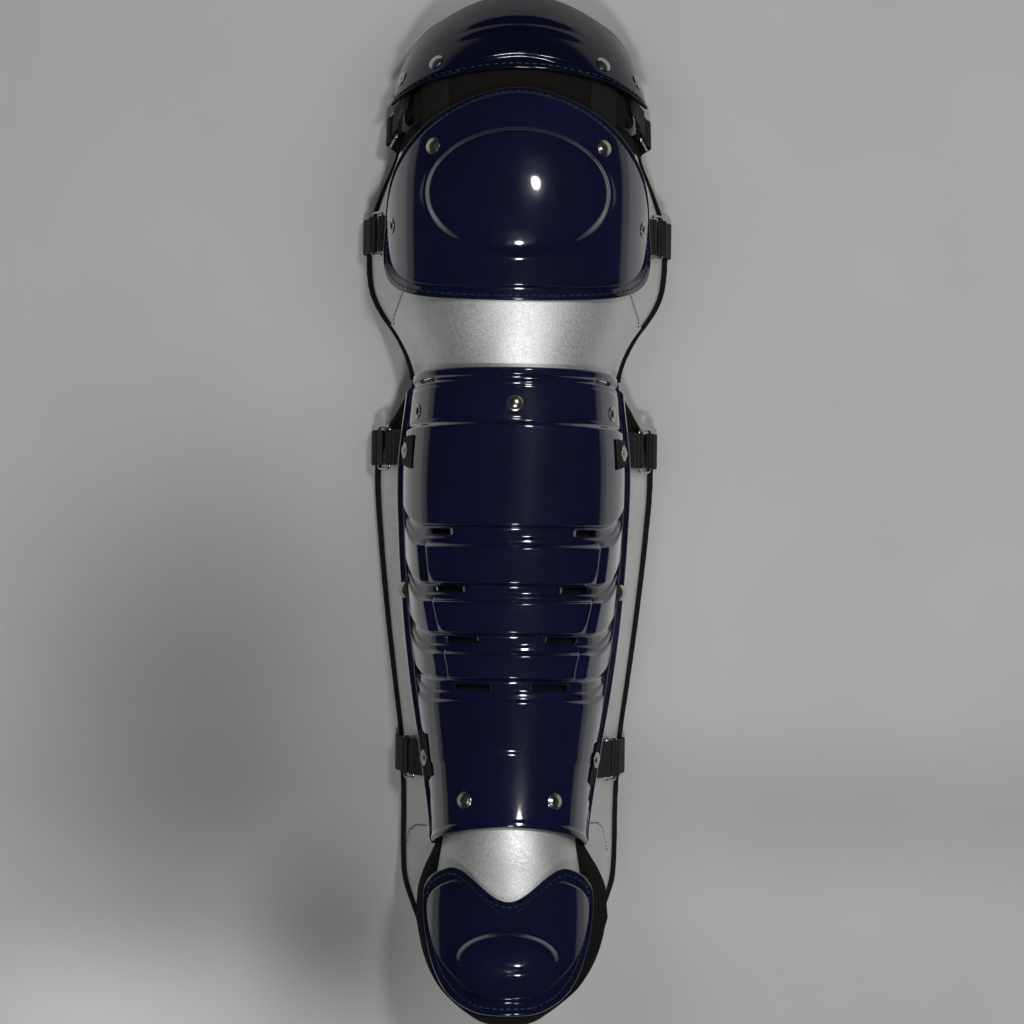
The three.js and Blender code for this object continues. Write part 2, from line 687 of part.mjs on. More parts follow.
// A webbing strip along the leg, over the hinge panel and under both caps
const HINGE_WEB_AT = 0.7 * HALF_WIDTH;
const HINGE_WEB_WIDTH = 22;
const HINGE_WEB_REACH = 16;
function hingeWeb(side) {
  const rows = 5;
  const columns = 3;
  const low = KNEE_TOP - 1.5 * HINGE_WEB_REACH;
  const high = THIGH_LOW + HINGE_WEB_REACH;
  const place = (i, j) => ({
    v: THREE.MathUtils.lerp(low, high, i / (rows - 1)),
    p: side * HINGE_WEB_AT + HINGE_WEB_WIDTH * (j / (columns - 1) - 0.5),
    high: WEB_HIGH,
    low: WEB_LOW,
  });
  return gridSlab(rows, columns, place);
}

// Rivets, each with its own station, arc place and the lift of the shell under it
const RIVETS = [
  { name: "thigh_rivet_front", v: THIGH_LOW + 0.2 * THIGH_CAP_LENGTH, p: 0.6125 * HALF_WIDTH, rise: 3.1 },
  { name: "thigh_rivet_side", v: THIGH_LOW + 0.35 * THIGH_CAP_LENGTH, p: HALF_WIDTH, rise: 2.8 },
  { name: "knee_rivet_upper", v: KNEE_TOP - 0.268 * KNEE_CAP_LENGTH, p: 0.64 * HALF_WIDTH, rise: 2.8 },
  { name: "knee_rivet_side", v: KNEE_LOW + 0.343 * KNEE_CAP_LENGTH, p: 1.13 * HALF_WIDTH, rise: 2.8 },
];
// Rivets of the shin shell, as shares of its length and of its edge
const CREST_RIVET_SHARE = 0.921;
const SHIN_RIVETS = [
  { name: "shin_rivet_top", share: 0.913, side: 0.735, seat: 0 },
  { name: "shin_rivet_upper_tab", share: 0.815, side: 0.8, seat: -0.9 },
  { name: "shin_rivet_middle", share: 0.45, side: 0.95, seat: 1.9 },
  { name: "shin_rivet_lower_tab", share: 0.175, side: 0.83, seat: 0 },
  { name: "shin_rivet_front", share: 0.065, side: 0.38, seat: 0 },
];

function rivet(v, p, lift) {
  const r = RIVET_RADIUS;
  const h = RIVET_HEIGHT;
  const profile = [
    new THREE.Vector2(0, 0),
    new THREE.Vector2(r, 0),
    new THREE.Vector2(0.9 * r, 0.55 * h),
    new THREE.Vector2(0.5 * r, 0.95 * h),
    new THREE.Vector2(0, h),
  ];
  const geometry = new THREE.LatheGeometry(profile, RIVET_SIDES);
  geometry.deleteAttribute("normal");
  geometry.deleteAttribute("uv");
  const turn = new THREE.Quaternion().setFromUnitVectors(new THREE.Vector3(0, 1, 0), outward(v, p));
  geometry.applyQuaternion(turn);
  geometry.translate(...form(v, p, lift + SMALL_GAP).toArray());
  return geometry;
}

// The planes of the straps: the station they hang from, the lean of their plane, how far the tabs
// reach under the shell, hang below it and stand off the wing, and the flare of the leg there
const THIGH_STRAP = THIGH_LOW + 0.194 * THIGH_CAP_LENGTH;
const KNEE_STRAP = KNEE_LOW + 0.314 * KNEE_CAP_LENGTH;
const UPPER_STRAP = 0.826 * SHIN_LENGTH;
const LOWER_STRAP = 0.151 * SHIN_LENGTH;
const STRAPS = [
  { name: "thigh", v: THIGH_STRAP, lean: -36, hold: 12, hang: 14, stand: 3, lift: 1.05, flare: -0.12 },
  { name: "knee", v: KNEE_STRAP, lean: 0, hold: 20, hang: 17, stand: 5, lift: 1.9, flare: 0 },
  { name: "upper_shin", v: UPPER_STRAP, lean: 0, hold: 20, hang: 15, stand: 5, lift: 1.9, flare: -0.06 },
  { name: "lower_shin", v: LOWER_STRAP, lean: 0, hold: 13, hang: 17, stand: 5, lift: 2, flare: 0.11 },
];
const onFloor = (strap) => strap.lean === 0;

// Plane coordinates: x across the leg and y up out of it, with z along the leg
function strapPlane(strap) {
  const lean = THREE.MathUtils.degToRad(strap.lean);
  const reference = form(strap.v, shellEdge(strap.v), 0);
  const { y, z } = crest(strap.v);
  const origin = onFloor(strap) ? new THREE.Vector3(0, reference.y, 0) : new THREE.Vector3(0, y, z);
  const matrix = new THREE.Matrix4().makeBasis(
    new THREE.Vector3(1, 0, 0),
    new THREE.Vector3(0, -Math.sin(lean), Math.cos(lean)),
    new THREE.Vector3(0, -Math.cos(lean), -Math.sin(lean)),
  );
  return matrix.setPosition(origin);
}

// The point of the form at an arc place and lift where the plane cuts it
function inPlane(strap, matrix, p, lift) {
  const inverse = matrix.clone().invert();
  let v = strap.v;
  let local = new THREE.Vector3();
  for (let step = 0; step < 8; step += 1) {
    local = form(v, p, lift).applyMatrix4(inverse);
    v += local.z;
  }
  return new THREE.Vector2(local.x, local.y);
}

// A strip of webbing along a flat path, as wide as the webbing. flares gives its slant at each point.
function ribbon(path, matrix, flares = []) {
  const last = path.length - 1;
  const half = WEB_THICKNESS / 2;
  const left = [];
  const right = [];
  path.forEach((point, i) => {
    const into = point.clone().sub(path[Math.max(i - 1, 0)]);
    const out = path[Math.min(i + 1, last)].clone().sub(point);
    if (i === 0) into.copy(out);
    if (i === last) out.copy(into);
    const mean = into.normalize().add(out.normalize()).normalize();
    const reach = half / Math.max(mean.dot(into), 0.6);
    const offset = new THREE.Vector2(-mean.y, mean.x).multiplyScalar(reach);
    left.push(point.clone().add(offset));
    right.push(point.clone().sub(offset));
  });
  const points = [];
  for (const z of [-WEB_WIDTH / 2, WEB_WIDTH / 2]) {
    for (const side of [left, right]) {
      side.forEach(({ x, y }, i) => {
        points.push(new THREE.Vector3(x - z * (flares[i] ?? 0), y, z).applyMatrix4(matrix));
      });
    }
  }
  const n = path.length;
  const quads = [];
  for (let i = 0; i < last; i += 1) {
    quads.push([i, i + 1, n + i + 1, n + i]);
    quads.push([3 * n + i, 3 * n + i + 1, 2 * n + i + 1, 2 * n + i]);
    quads.push([i + 1, i, 2 * n + i, 2 * n + i + 1]);
    quads.push([n + i, n + i + 1, 3 * n + i + 1, 3 * n + i]);
  }
  quads.push([0, n, 3 * n, 2 * n]);
  quads.push([n + last, last, 2 * n + last, 3 * n + last]);
  const triangles = quads.flatMap(([a, b, c, d]) => [
    [a, b, c],
    [a, c, d],
  ]);
  return triangleGeometry(points, triangles);
}

// The fold of webbing round a wire: from its start, round the wire's centre and back along itself
function foldPath(start, wire, turnSign) {
  const radius = WIRE_RADIUS + FOLD_CLEAR + WEB_THICKNESS / 2;
  const towards = wire.clone().sub(start);
  const distance = towards.length();
  const heading = Math.atan2(towards.y, towards.x);
  const tangent = heading - turnSign * Math.asin(Math.min(radius / distance, 0.99));
  const from = tangent + (turnSign * Math.PI) / 2;
  const path = [];
  const sweep = Math.PI + Math.asin(0.35);
  for (let k = 0; k <= FOLD_STEPS; k += 1) {
    const angle = from + Math.PI + turnSign * sweep * (k / FOLD_STEPS);
    const x = wire.x + radius * Math.cos(angle);
    const y = wire.y + radius * Math.sin(angle);
    path.push(new THREE.Vector2(x, y));
  }
  const first = path[0];
  const back = start.clone().sub(first).normalize();
  const normal = new THREE.Vector2(-back.y, back.x).multiplyScalar(-turnSign);
  const beside = first
    .clone()
    .addScaledVector(back, FOLD_LENGTH)
    .addScaledVector(normal, -(WEB_THICKNESS + SMALL_GAP));
  path.push(beside);
  return path;
}

// The two wire bars of a loop, on the side of sign
function loopBars(strap, matrix, side) {
  const edge = shellEdge(strap.v);
  const upper = inPlane(strap, matrix, side * (edge + strap.hang), strap.stand);
  const further = inPlane(strap, matrix, side * (edge + strap.hang + 4), strap.stand + 0.8);
  const down = further.sub(upper).normalize();
  const lower = upper.clone().addScaledVector(down, LOOP_HEIGHT);
  return { upper, lower };
}

function tab(strap, side) {
  const matrix = strapPlane(strap);
  const edge = shellEdge(strap.v);
  const middle = strap.lift + WEB_THICKNESS / 2;
  const reach = [-strap.hold, -0.66 * strap.hold, -0.33 * strap.hold, 0, 5];
  const lifts = [middle, middle, middle, middle + 0.3, middle + 1.5];
  const path = reach.map((out, k) => inPlane(strap, matrix, side * (edge + out), lifts[k]));
  const { upper } = loopBars(strap, matrix, side);
  const flares = path.map((point, k) => side * strap.flare * (k < path.length - 1 ? 1 : 0.7));
  return ribbon([...path, ...foldPath(path[path.length - 1], upper, side)], matrix, flares);
}

function wireLoop(strap, side) {
  const matrix = strapPlane(strap);
  const { upper, lower } = loopBars(strap, matrix, side);
  const down = lower.clone().sub(upper).normalize();
  const half = LOOP_WIDTH / 2;
  const cut = LOOP_CORNER;
  const h = LOOP_HEIGHT;
  const corners = [
    [0, -half + cut],
    [0, half - cut],
    [cut, half],
    [h - cut, half],
    [h, half - cut],
    [h, -half + cut],
    [h - cut, -half],
    [cut, -half],
  ];
  const path = corners.map(([drop, z]) => {
    const point = upper.clone().addScaledVector(down, drop);
    return new THREE.Vector3(point.x, point.y, z);
  });
  const flat = new THREE.Vector3(-down.y, down.x, 0);
  const points = [];
  const triangles = [];
  const count = path.length;
  path.forEach((point, i) => {
    const into = point.clone().sub(path[(i + count - 1) % count]).normalize();
    const out = path[(i + 1) % count].clone().sub(point).normalize();
    const mean = into.clone().add(out).normalize();
    const stretch = 1 / mean.dot(into);
    const aside = flat.clone().cross(mean);
    for (let k = 0; k < WIRE_SIDES; k += 1) {
      const angle = (2 * Math.PI * k) / WIRE_SIDES;
      const ring = point
        .clone()
        .addScaledVector(aside, WIRE_RADIUS * Math.cos(angle) * stretch)
        .addScaledVector(flat, WIRE_RADIUS * Math.sin(angle));
      points.push(ring.applyMatrix4(matrix));
      const a = i * WIRE_SIDES + k;
      const b = i * WIRE_SIDES + ((k + 1) % WIRE_SIDES);
      const c = ((i + 1) % count) * WIRE_SIDES + ((k + 1) % WIRE_SIDES);
      const d = ((i + 1) % count) * WIRE_SIDES + k;
      triangles.push([a, b, c], [a, c, d]);
    }
  });
  return triangleGeometry(points, triangles);
}

// A strap from loop to loop: along the floor behind the leg, or straight across at the thigh
const STRAP_CLEAR = 2;
const STRAP_BEND = 4;
function strapBand(strap) {
  const matrix = strapPlane(strap);
  const { lower } = loopBars(strap, matrix, 1);
  const half = [];
  if (onFloor(strap)) {
    const floor = WEB_THICKNESS / 2;
    const side = Math.max(lower.x + STRAP_CLEAR, strapSide(strap, matrix));
    half.push(new THREE.Vector2(side, floor + 2 * STRAP_BEND));
    half.push(new THREE.Vector2(side - 0.15 * STRAP_BEND, floor + 0.7 * STRAP_BEND));
    half.push(new THREE.Vector2(side - 0.7 * STRAP_BEND, floor + 0.1 * STRAP_BEND));
    half.push(new THREE.Vector2(side - 1.5 * STRAP_BEND, floor));
  } else {
    half.push(new THREE.Vector2(lower.x - STRAP_BEND, lower.y - 2.5 * STRAP_BEND));
    half.push(new THREE.Vector2(lower.x - 3 * STRAP_BEND, lower.y - 3.75 * STRAP_BEND));
  }
  const fold = foldPath(half[0], lower, -1);
  const right = [...fold.reverse(), ...half];
  const left = right.map(({ x, y }) => new THREE.Vector2(-x, y)).reverse();
  return ribbon([...right, ...left], matrix);
}

// The place across the leg just outside the wing's edge
function strapSide(strap, matrix) {
  const table = strap.name === "knee" ? KNEE_EDGE : SHIN_EDGE;
  const local = matrix.clone().invert();
  let reach = 0;
  for (const z of [-WEB_WIDTH / 2, 0, WEB_WIDTH / 2]) {
    const v = strap.v - z;
    const edge = form(v, wingEdge(v, table) + 6, 1).applyMatrix4(local);
    reach = Math.max(reach, edge.x);
  }
  return reach + WEB_THICKNESS / 2 + 3 * SMALL_GAP;
}

// Materials
const material = (color, roughness, metalness) =>
  new THREE.MeshStandardMaterial({ color, roughness, metalness });
const shellPlastic = material(0x10122e, 0.15, 0);
const silverVinyl = material(0xb4b5b8, 0.45, 0.5);
const blackFabric = material(0x141416, 0.85, 0);
const blackWebbing = material(0x101012, 0.8, 0);
const nickel = material(0xc9c4b8, 0.25, 1);

const guard = new THREE.Group();
function add(name, geometry, look) {
  const mesh = new THREE.Mesh(geometry, look);
  mesh.name = name;
  guard.add(mesh);
}
const SIDES = [
  { name: "left", sign: -1 },
  { name: "right", sign: 1 },
];

add("thigh_cap", capShell(THIGH_OUTLINE, THIGH_MIDDLE, THIGH_RINGS), shellPlastic);
add("knee_cap", capShell(KNEE_OUTLINE, KNEE_BOSS, KNEE_RINGS), shellPlastic);
add("shin_shell", shinShell(), shellPlastic);
add("toe_cap", toeCap(), shellPlastic);
add("thigh_pad", thighPad(), blackFabric);
add("hinge_panel", hingePanel(), blackFabric);
add("knee_pad", kneePad(), silverVinyl);
add("knee_band", kneeBand(), silverVinyl);
add("shin_pad", shinPad(), silverVinyl);
add("instep_panel", instepPanel(), silverVinyl);
add("toe_pad", toePad(), blackFabric);
const crestRivet = shinPlace(CREST_RIVET_SHARE, 0);
add("shin_rivet_crest", rivet(crestRivet.v, 0, crestRivet.high), nickel);

for (const { name, sign } of SIDES) {
  const knee = binding(KNEE_PAD_ROWS, KNEE_EDGE, KNEE_PAD_LOW, KNEE_PAD_HIGH, sign);
  const shin = binding(SHIN_PAD_ROWS, SHIN_EDGE, WING_LOW, WING_HIGH, sign);
  add(`knee_binding_${name}`, knee, blackFabric);
  add(`shin_binding_${name}`, shin, blackFabric);
  add(`hinge_web_${name}`, hingeWeb(sign), blackWebbing);
  for (const row of RIVETS) {
    add(`${row.name}_${name}`, rivet(row.v, sign * row.p, SHELL_LIFT + row.rise), nickel);
  }
  for (const row of SHIN_RIVETS) {
    const { v, p, high } = shinPlace(row.share, sign * row.side);
    add(`${row.name}_${name}`, rivet(v, p, high + row.seat), nickel);
  }
  for (const strap of STRAPS) {
    add(`${strap.name}_tab_${name}`, tab(strap, sign), blackWebbing);
    add(`${strap.name}_loop_${name}`, wireLoop(strap, sign), nickel);
  }
}
for (const strap of STRAPS) add(`${strap.name}_strap`, strapBand(strap), blackWebbing);

export default guard;
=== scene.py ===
"""Leg guard lying on its back: glossy shells over silver and black pads, seen from above."""
import json
import math

import bmesh
import bpy
import numpy as np
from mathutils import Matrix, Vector

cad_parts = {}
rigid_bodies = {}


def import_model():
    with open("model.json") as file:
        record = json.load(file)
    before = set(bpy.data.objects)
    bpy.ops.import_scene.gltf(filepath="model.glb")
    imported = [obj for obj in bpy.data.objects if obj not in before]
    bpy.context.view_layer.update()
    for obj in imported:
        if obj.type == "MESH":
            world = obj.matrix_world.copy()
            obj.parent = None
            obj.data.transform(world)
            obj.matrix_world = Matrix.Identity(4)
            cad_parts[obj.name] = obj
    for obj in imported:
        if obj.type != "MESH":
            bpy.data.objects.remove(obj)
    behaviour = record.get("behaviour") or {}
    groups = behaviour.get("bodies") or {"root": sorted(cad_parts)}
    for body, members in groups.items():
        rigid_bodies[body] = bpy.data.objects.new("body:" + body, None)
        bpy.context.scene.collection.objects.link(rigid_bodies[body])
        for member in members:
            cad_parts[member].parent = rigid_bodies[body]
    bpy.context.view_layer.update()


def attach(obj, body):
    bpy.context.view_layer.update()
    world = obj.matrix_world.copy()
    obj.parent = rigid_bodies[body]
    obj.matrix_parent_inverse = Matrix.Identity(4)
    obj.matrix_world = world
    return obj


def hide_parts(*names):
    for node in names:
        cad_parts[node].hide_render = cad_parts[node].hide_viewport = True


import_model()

# Sizes in millimetres, as in the part's source
MM = 0.001
TOE_CAP_LENGTH = 78
INSTEP_LENGTH = 50
SHIN_LENGTH = 305
BAND_LENGTH = 44
KNEE_CAP_LENGTH = 140
HINGE_LENGTH = 15
THIGH_CAP_LENGTH = 72
HALF_WIDTH = 80
DEPTH = 66
BRIM = 12
BODY_TURN = math.radians(78)
BRIM_TURN = math.radians(45)
BEND_SOFTNESS = 1.5
CREST_HEIGHT = 98
CREST_STATION = 0.492 * SHIN_LENGTH
CREST_Y = -66.67
SHELL_WALL = 2.8
SHELL_LIFT = 7
PAD_THICKNESS = 10
WING_THICKNESS = 5
PANEL_LOW = 0.75
PANEL_HIGH = 1.85
WEB_LOW = 2.15
WEB_HIGH = 3.15
WING_REST = 8.5
TUCK = 9
PAD_APART = 4
SHIN_TOP = SHIN_LENGTH
KNEE_LOW = SHIN_TOP + BAND_LENGTH
KNEE_TOP = KNEE_LOW + KNEE_CAP_LENGTH
THIGH_LOW = KNEE_TOP + HINGE_LENGTH
THIGH_TOP = THIGH_LOW + THIGH_CAP_LENGTH
TOE_TOP = -INSTEP_LENGTH
TOE_TIP = TOE_TOP - TOE_CAP_LENGTH
SECTION_END = 20

# Cross sections from toe to thigh: station, lean, half width, depth, brim and wing turn
SECTIONS = np.array([
    (TOE_TIP - SECTION_END, -34, 0.56, 0.515, 0, 20),
    (TOE_TIP, -33, 0.59, 0.545, 0, 20),
    (TOE_TOP, -24, 0.64, 0.605, 0, 17),
    (0.5 * TOE_TOP, -18, 0.615, 0.605, 0, 21),
    (0, -12, 0.565, 0.605, 0.4, 21),
    (0.165 * SHIN_TOP, -5, 0.615, 0.65, 0.85, 20),
    (0.31 * SHIN_TOP, -1, 0.7, 0.73, 1, 21),
    (0.46 * SHIN_TOP, 0, 0.775, 0.82, 1, 23),
    (0.625 * SHIN_TOP, 0, 0.825, 0.88, 1, 26),
    (0.785 * SHIN_TOP, 0, 0.84, 0.895, 1, 29),
    (0.935 * SHIN_TOP, 1, 0.8, 0.88, 0.75, 30),
    (SHIN_TOP, 3, 0.8, 0.88, 0.5, 24),
    (KNEE_LOW - 0.32 * BAND_LENGTH, 8, 0.94, 0.94, 0, 27),
    (KNEE_LOW, 9, 0.99, 1, 0, 27),
    (KNEE_LOW + 0.32 * KNEE_CAP_LENGTH, 5, 1.025, 1.075, 0, 24),
    (KNEE_LOW + 0.63 * KNEE_CAP_LENGTH, -4, 1.025, 1.075, 0, 17),
    (KNEE_TOP, -25, 0.985, 1.015, 0, 12),
    (THIGH_LOW + 0.08 * THIGH_CAP_LENGTH, -32, 0.99, 0.955, 0, 12),
    (THIGH_TOP, -58, 0.91, 0.88, 0, 10),
    (THIGH_TOP + SECTION_END, -62, 0.88, 0.85, 0, 10),
], float)
KNEE_EDGE = np.array([
    (SHIN_TOP - 0.18 * BAND_LENGTH, 0.545),
    (SHIN_TOP + 0.34 * BAND_LENGTH, 0.333),
    (KNEE_LOW - 0.32 * BAND_LENGTH, 0.106),
    (KNEE_LOW, 0.015),
    (KNEE_LOW + 0.2 * KNEE_CAP_LENGTH, 0),
    (KNEE_LOW + 0.43 * KNEE_CAP_LENGTH, 0.045),
    (KNEE_LOW + 0.68 * KNEE_CAP_LENGTH, 0.212),
    (KNEE_LOW + 0.86 * KNEE_CAP_LENGTH, 0.394),
    (KNEE_TOP + 0.4 * HINGE_LENGTH, 0.576),
], float)
SHIN_EDGE = np.array([
    (1.04 * TOE_TOP, 1.06),
    (0.6 * TOE_TOP, 0.545),
    (0.24 * TOE_TOP, 0.167),
    (0.016 * SHIN_TOP, 0.03),
    (0.25 * SHIN_TOP, 0.023),
    (0.5 * SHIN_TOP, 0),
    (0.77 * SHIN_TOP, 0),
    (0.84 * SHIN_TOP, 0.09),
    (0.88 * SHIN_TOP, 0.258),
    (0.945 * SHIN_TOP, 0.545),
], float)
# The grooves of the shin shell: low edge, slot, high edge, the face of the panel above,
# and how far the slot reaches in from the face's edge in millimetres
GROOVES = [
    {"low": 0.275, "slot": (0.298, 0.313), "high": 0.325, "face": 0.43, "reach": 25},
    {"low": 0.377, "slot": (0.4, 0.415), "high": 0.423, "face": 0.48, "reach": 23},
    {"low": 0.49, "slot": (0.51, 0.524), "high": 0.53, "face": 0.54, "reach": 20},
    {"low": 0.61, "slot": (0.634, 0.648), "high": 0.656, "face": 0.57, "reach": 18},
]
WARPS = np.array([
    (0, 0, 0.03), (0.08, 0, 0.026), (0.16, 0.006, 0.04), (0.23, 0.02, 0.016), (0.3, 0.036, 0),
    (0.4, 0.052, 0), (0.51, 0.066, 0), (0.635, 0.056, 0), (0.77, 0.02, 0), (0.86, 0, 0.013),
    (0.89, 0, 0.018), (0.965, 0, 0.016), (1, 0, 0.014),
], float)
FACE_SIDE = 0.56
WALL_SIDE = 0.88
TOP_CORNER = 15
BOTTOM_CORNER = 5


# The leg form
def along(rows, at):
    """A smooth curve through the rows of a table."""
    x = rows[:, 0]
    y = rows[:, 1:]
    slope = np.empty_like(y)
    slope[1:-1] = (y[2:] - y[:-2]) / (x[2:] - x[:-2])[:, None]
    slope[0] = (y[1] - y[0]) / (x[1] - x[0])
    slope[-1] = (y[-1] - y[-2]) / (x[-1] - x[-2])
    at = np.clip(np.asarray(at, float), x[0], x[-1])
    i = np.clip(np.searchsorted(x, at, side="right") - 1, 0, len(x) - 2)
    step = (x[i + 1] - x[i])[..., None]
    u = (at - x[i])[..., None] / step
    return ((2 * u**3 - 3 * u**2 + 1) * y[i] + (u**3 - 2 * u**2 + u) * step * slope[i]
            + (3 * u**2 - 2 * u**3) * y[i + 1] + (u**3 - u**2) * step * slope[i + 1])


STATIONS = np.arange(SECTIONS[0, 0], SECTIONS[-1, 0] + 0.1, 0.25)
SAMPLED = along(SECTIONS, STATIONS)


class Section:
    """The leg form's cross section at a station, in millimetres and radians."""

    def __init__(self, v):
        lean, half, deep, brim, wing = (np.interp(v, STATIONS, SAMPLED[:, k]) for k in range(5))
        self.lean = np.radians(lean)
        self.half = half * HALF_WIDTH
        self.deep = deep * DEPTH
        self.brim = np.maximum(brim * BRIM, 0)
        self.wing = np.radians(wing)
        self.body = BODY_TURN * (self.half + self.deep) / 2
        self.edge = self.body + self.brim


def crest_line():
    """Gives Y and Z of the crest of the form at a station."""
    first = math.ceil(SECTIONS[0, 0])
    last = math.floor(SECTIONS[-1, 0])
    stations = np.arange(first, last + 1.0)
    lean = Section(stations[:-1] + 0.5).lean
    y = np.concatenate([[0], np.cumsum(np.cos(lean))])
    z = np.concatenate([[0], np.cumsum(np.sin(lean))])
    y += CREST_Y - np.interp(CREST_STATION, stations, y)
    z += CREST_HEIGHT - np.interp(CREST_STATION, stations, z)
    return lambda v: (np.interp(v, stations, y), np.interp(v, stations, z))


crest = crest_line()


def bare_form(v, p):
    s = Section(v)
    radius = (s.half + s.deep) / 2
    x = 0
    drop = 0
    for k in (-2, -1, 0, 1, 2):
        q = p + k * BEND_SOFTNESS
        arc = np.abs(q)
        turn = np.minimum(arc, s.body) / radius
        on_brim = np.clip(arc - s.body, 0, s.brim)
        on_wing = np.maximum(arc - s.body - s.brim, 0)
        out = math.sin(BRIM_TURN) * on_brim + np.sin(s.wing) * on_wing
        x = x + np.sign(q) * (s.half * np.sin(turn) + out) / 5
        down = math.cos(BRIM_TURN) * on_brim + np.cos(s.wing) * on_wing
        drop = drop + (s.deep * (1 - np.cos(turn)) + down) / 5
    y, z = crest(v)
    return np.stack([x, y + np.sin(s.lean) * drop, z - np.cos(s.lean) * drop], -1)


def outward(v, p):
    across = bare_form(v, p + 0.5) - bare_form(v, p - 0.5)
    up = bare_form(v + 0.5, p) - bare_form(v - 0.5, p)
    normal = np.cross(across, up)
    return normal / np.linalg.norm(normal, axis=-1, keepdims=True)


def form(v, p, lift=0.0):
    v, p, lift = np.broadcast_arrays(np.asarray(v, float), np.asarray(p, float), np.asarray(lift, float))
    return bare_form(v, p) + outward(v, p) * lift[..., None]


def wing_edge(v, edge_table):
    s = Section(v)
    height = bare_form(v, s.edge)[..., 2] - WING_REST - along(edge_table, v)[..., 0] * DEPTH
    return s.edge + height / (np.cos(s.wing) * np.cos(s.lean))


def smoothstep(x, low, high):
    t = np.clip((x - low) / (high - low), 0, 1)
    return t * t * (3 - 2 * t)


def lerp(a, b, t):
    return a + (b - a) * t


def profile(x, rows, soft):
    """Straight runs between (place, height) rows, rounded over the length soft."""
    rows = np.array(rows, float)
    out = 0
    weights = (1, 2, 3, 4, 3, 2, 1)
    for k, weight in enumerate(weights):
        out = out + weight * np.interp(x + soft * (k - 3) / 3, rows[:, 0], rows[:, 1])
    return out / sum(weights)


def spread(marks, step):
    """Places from the first mark to the last, through every mark, at most step apart."""
    out = [marks[0]]
    for a, b in zip(marks[:-1], marks[1:]):
        count = max(1, math.ceil((b - a) / step - 1e-6))
        out.extend(a + (b - a) * (k + 1) / count for k in range(count))
    return np.array(out)


def run_along(path):
    """The length of a path up to each of its points."""
    return np.concatenate([[0], np.cumsum(np.linalg.norm(np.diff(path, axis=0), axis=1))])


def round_angles(count):
    return 2 * math.pi * np.arange(count) / count


def noise(x, y, seed, scale):
    """Smooth repeatable waves, about -1 to 1."""
    rng = np.random.default_rng(seed)
    out = 0
    for _ in range(7):
        angle = rng.uniform(0, 2 * math.pi)
        size = scale * rng.uniform(0.6, 1.7)
        phase = rng.uniform(0, 2 * math.pi)
        out = out + np.sin((x * math.cos(angle) + y * math.sin(angle)) * 2 * math.pi / size + phase)
    return out / 4


# Mesh building
UV_UNIT = 100
WELD_DISTANCE = 2e-6


def mesh_object(name, points, faces, material, uv=None, weld=False):
    points = np.asarray(points, float).reshape(-1, 3)
    listed = isinstance(faces, list)
    used = np.unique(np.concatenate([np.ravel(face) for face in faces]) if listed else faces)
    renumber = np.full(len(points), -1)
    renumber[used] = np.arange(len(used))
    faces = [tuple(renumber[list(face)]) for face in faces] if listed else renumber[faces].tolist()
    mesh = bpy.data.meshes.new(name)
    mesh.from_pydata((points[used] * MM).tolist(), [], faces)
    if uv is not None:
        layer = mesh.uv_layers.new(name="UVMap")
        index = np.empty(len(mesh.loops), int)
        mesh.loops.foreach_get("vertex_index", index)
        flat = np.asarray(uv, float).reshape(-1, 2)[used]
        layer.data.foreach_set("uv", (flat[index] / UV_UNIT).ravel())
    if weld:
        bm = bmesh.new()
        bm.from_mesh(mesh)
        bmesh.ops.remove_doubles(bm, verts=bm.verts, dist=WELD_DISTANCE)
        bm.to_mesh(mesh)
        bm.free()
    mesh.validate()
    mesh.polygons.foreach_set("use_smooth", [True] * len(mesh.polygons))
    mesh.materials.append(material)
    obj = bpy.data.objects.new(name, mesh)
    bpy.context.scene.collection.objects.link(obj)
    return obj


def grid_quads(rows, columns, wrap=False):
    index = np.arange(rows * columns).reshape(rows, columns)
    following = np.roll(index, -1, 1) if wrap else index[:, 1:]
    current = index if wrap else index[:, :-1]
    return np.stack([current[:-1], following[:-1], following[1:], current[1:]], -1)


def slab(name, outer, inner, material, mask=None, wrap=False, flip=False, uv=None, weld=False):
    """A closed body between two grids of points, with walls round every free edge."""
    rows, columns = outer.shape[:2]
    quads = grid_quads(rows, columns, wrap)
    quads = quads.reshape(-1, 4) if mask is None else quads[mask]
    if flip:
        quads = quads[:, ::-1]
    count = rows * columns
    edges = np.concatenate([quads[:, [k, (k + 1) % 4]] for k in range(4)])
    forward = edges[:, 0] * count + edges[:, 1]
    backward = edges[:, 1] * count + edges[:, 0]
    free = edges[~np.isin(forward, backward)]
    walls = np.stack([free[:, 1], free[:, 0], free[:, 0] + count, free[:, 1] + count], -1)
    faces = np.concatenate([quads, quads[:, ::-1] + count, walls])
    points = np.concatenate([outer.reshape(-1, 3), inner.reshape(-1, 3)])
    if uv is not None:
        uv = np.concatenate([uv.reshape(-1, 2)] * 2)
    return mesh_object(name, points, faces, material, uv, weld)


def tube(name, rings, material, closed=False, uv=None):
    """A tube through rings of points, with its ends closed unless it runs round."""
    rings = np.asarray(rings, float)
    rows, columns = rings.shape[:2]
    quads = grid_quads(rows, columns, True).reshape(-1, 4)
    faces = [tuple(q) for q in quads]
    if closed:
        last = (rows - 1) * columns
        following = [(k + 1) % columns for k in range(columns)]
        faces += [(last + k, last + after, after, k) for k, after in enumerate(following)]
    else:
        faces.append(tuple(range(columns))[::-1])
        faces.append(tuple((rows - 1) * columns + k for k in range(columns)))
    return mesh_object(name, rings.reshape(-1, 3), faces, material, uv)


def place(obj, slot, *nodes):
    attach(obj, "root")
    if nodes:
        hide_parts(*nodes)
    return obj


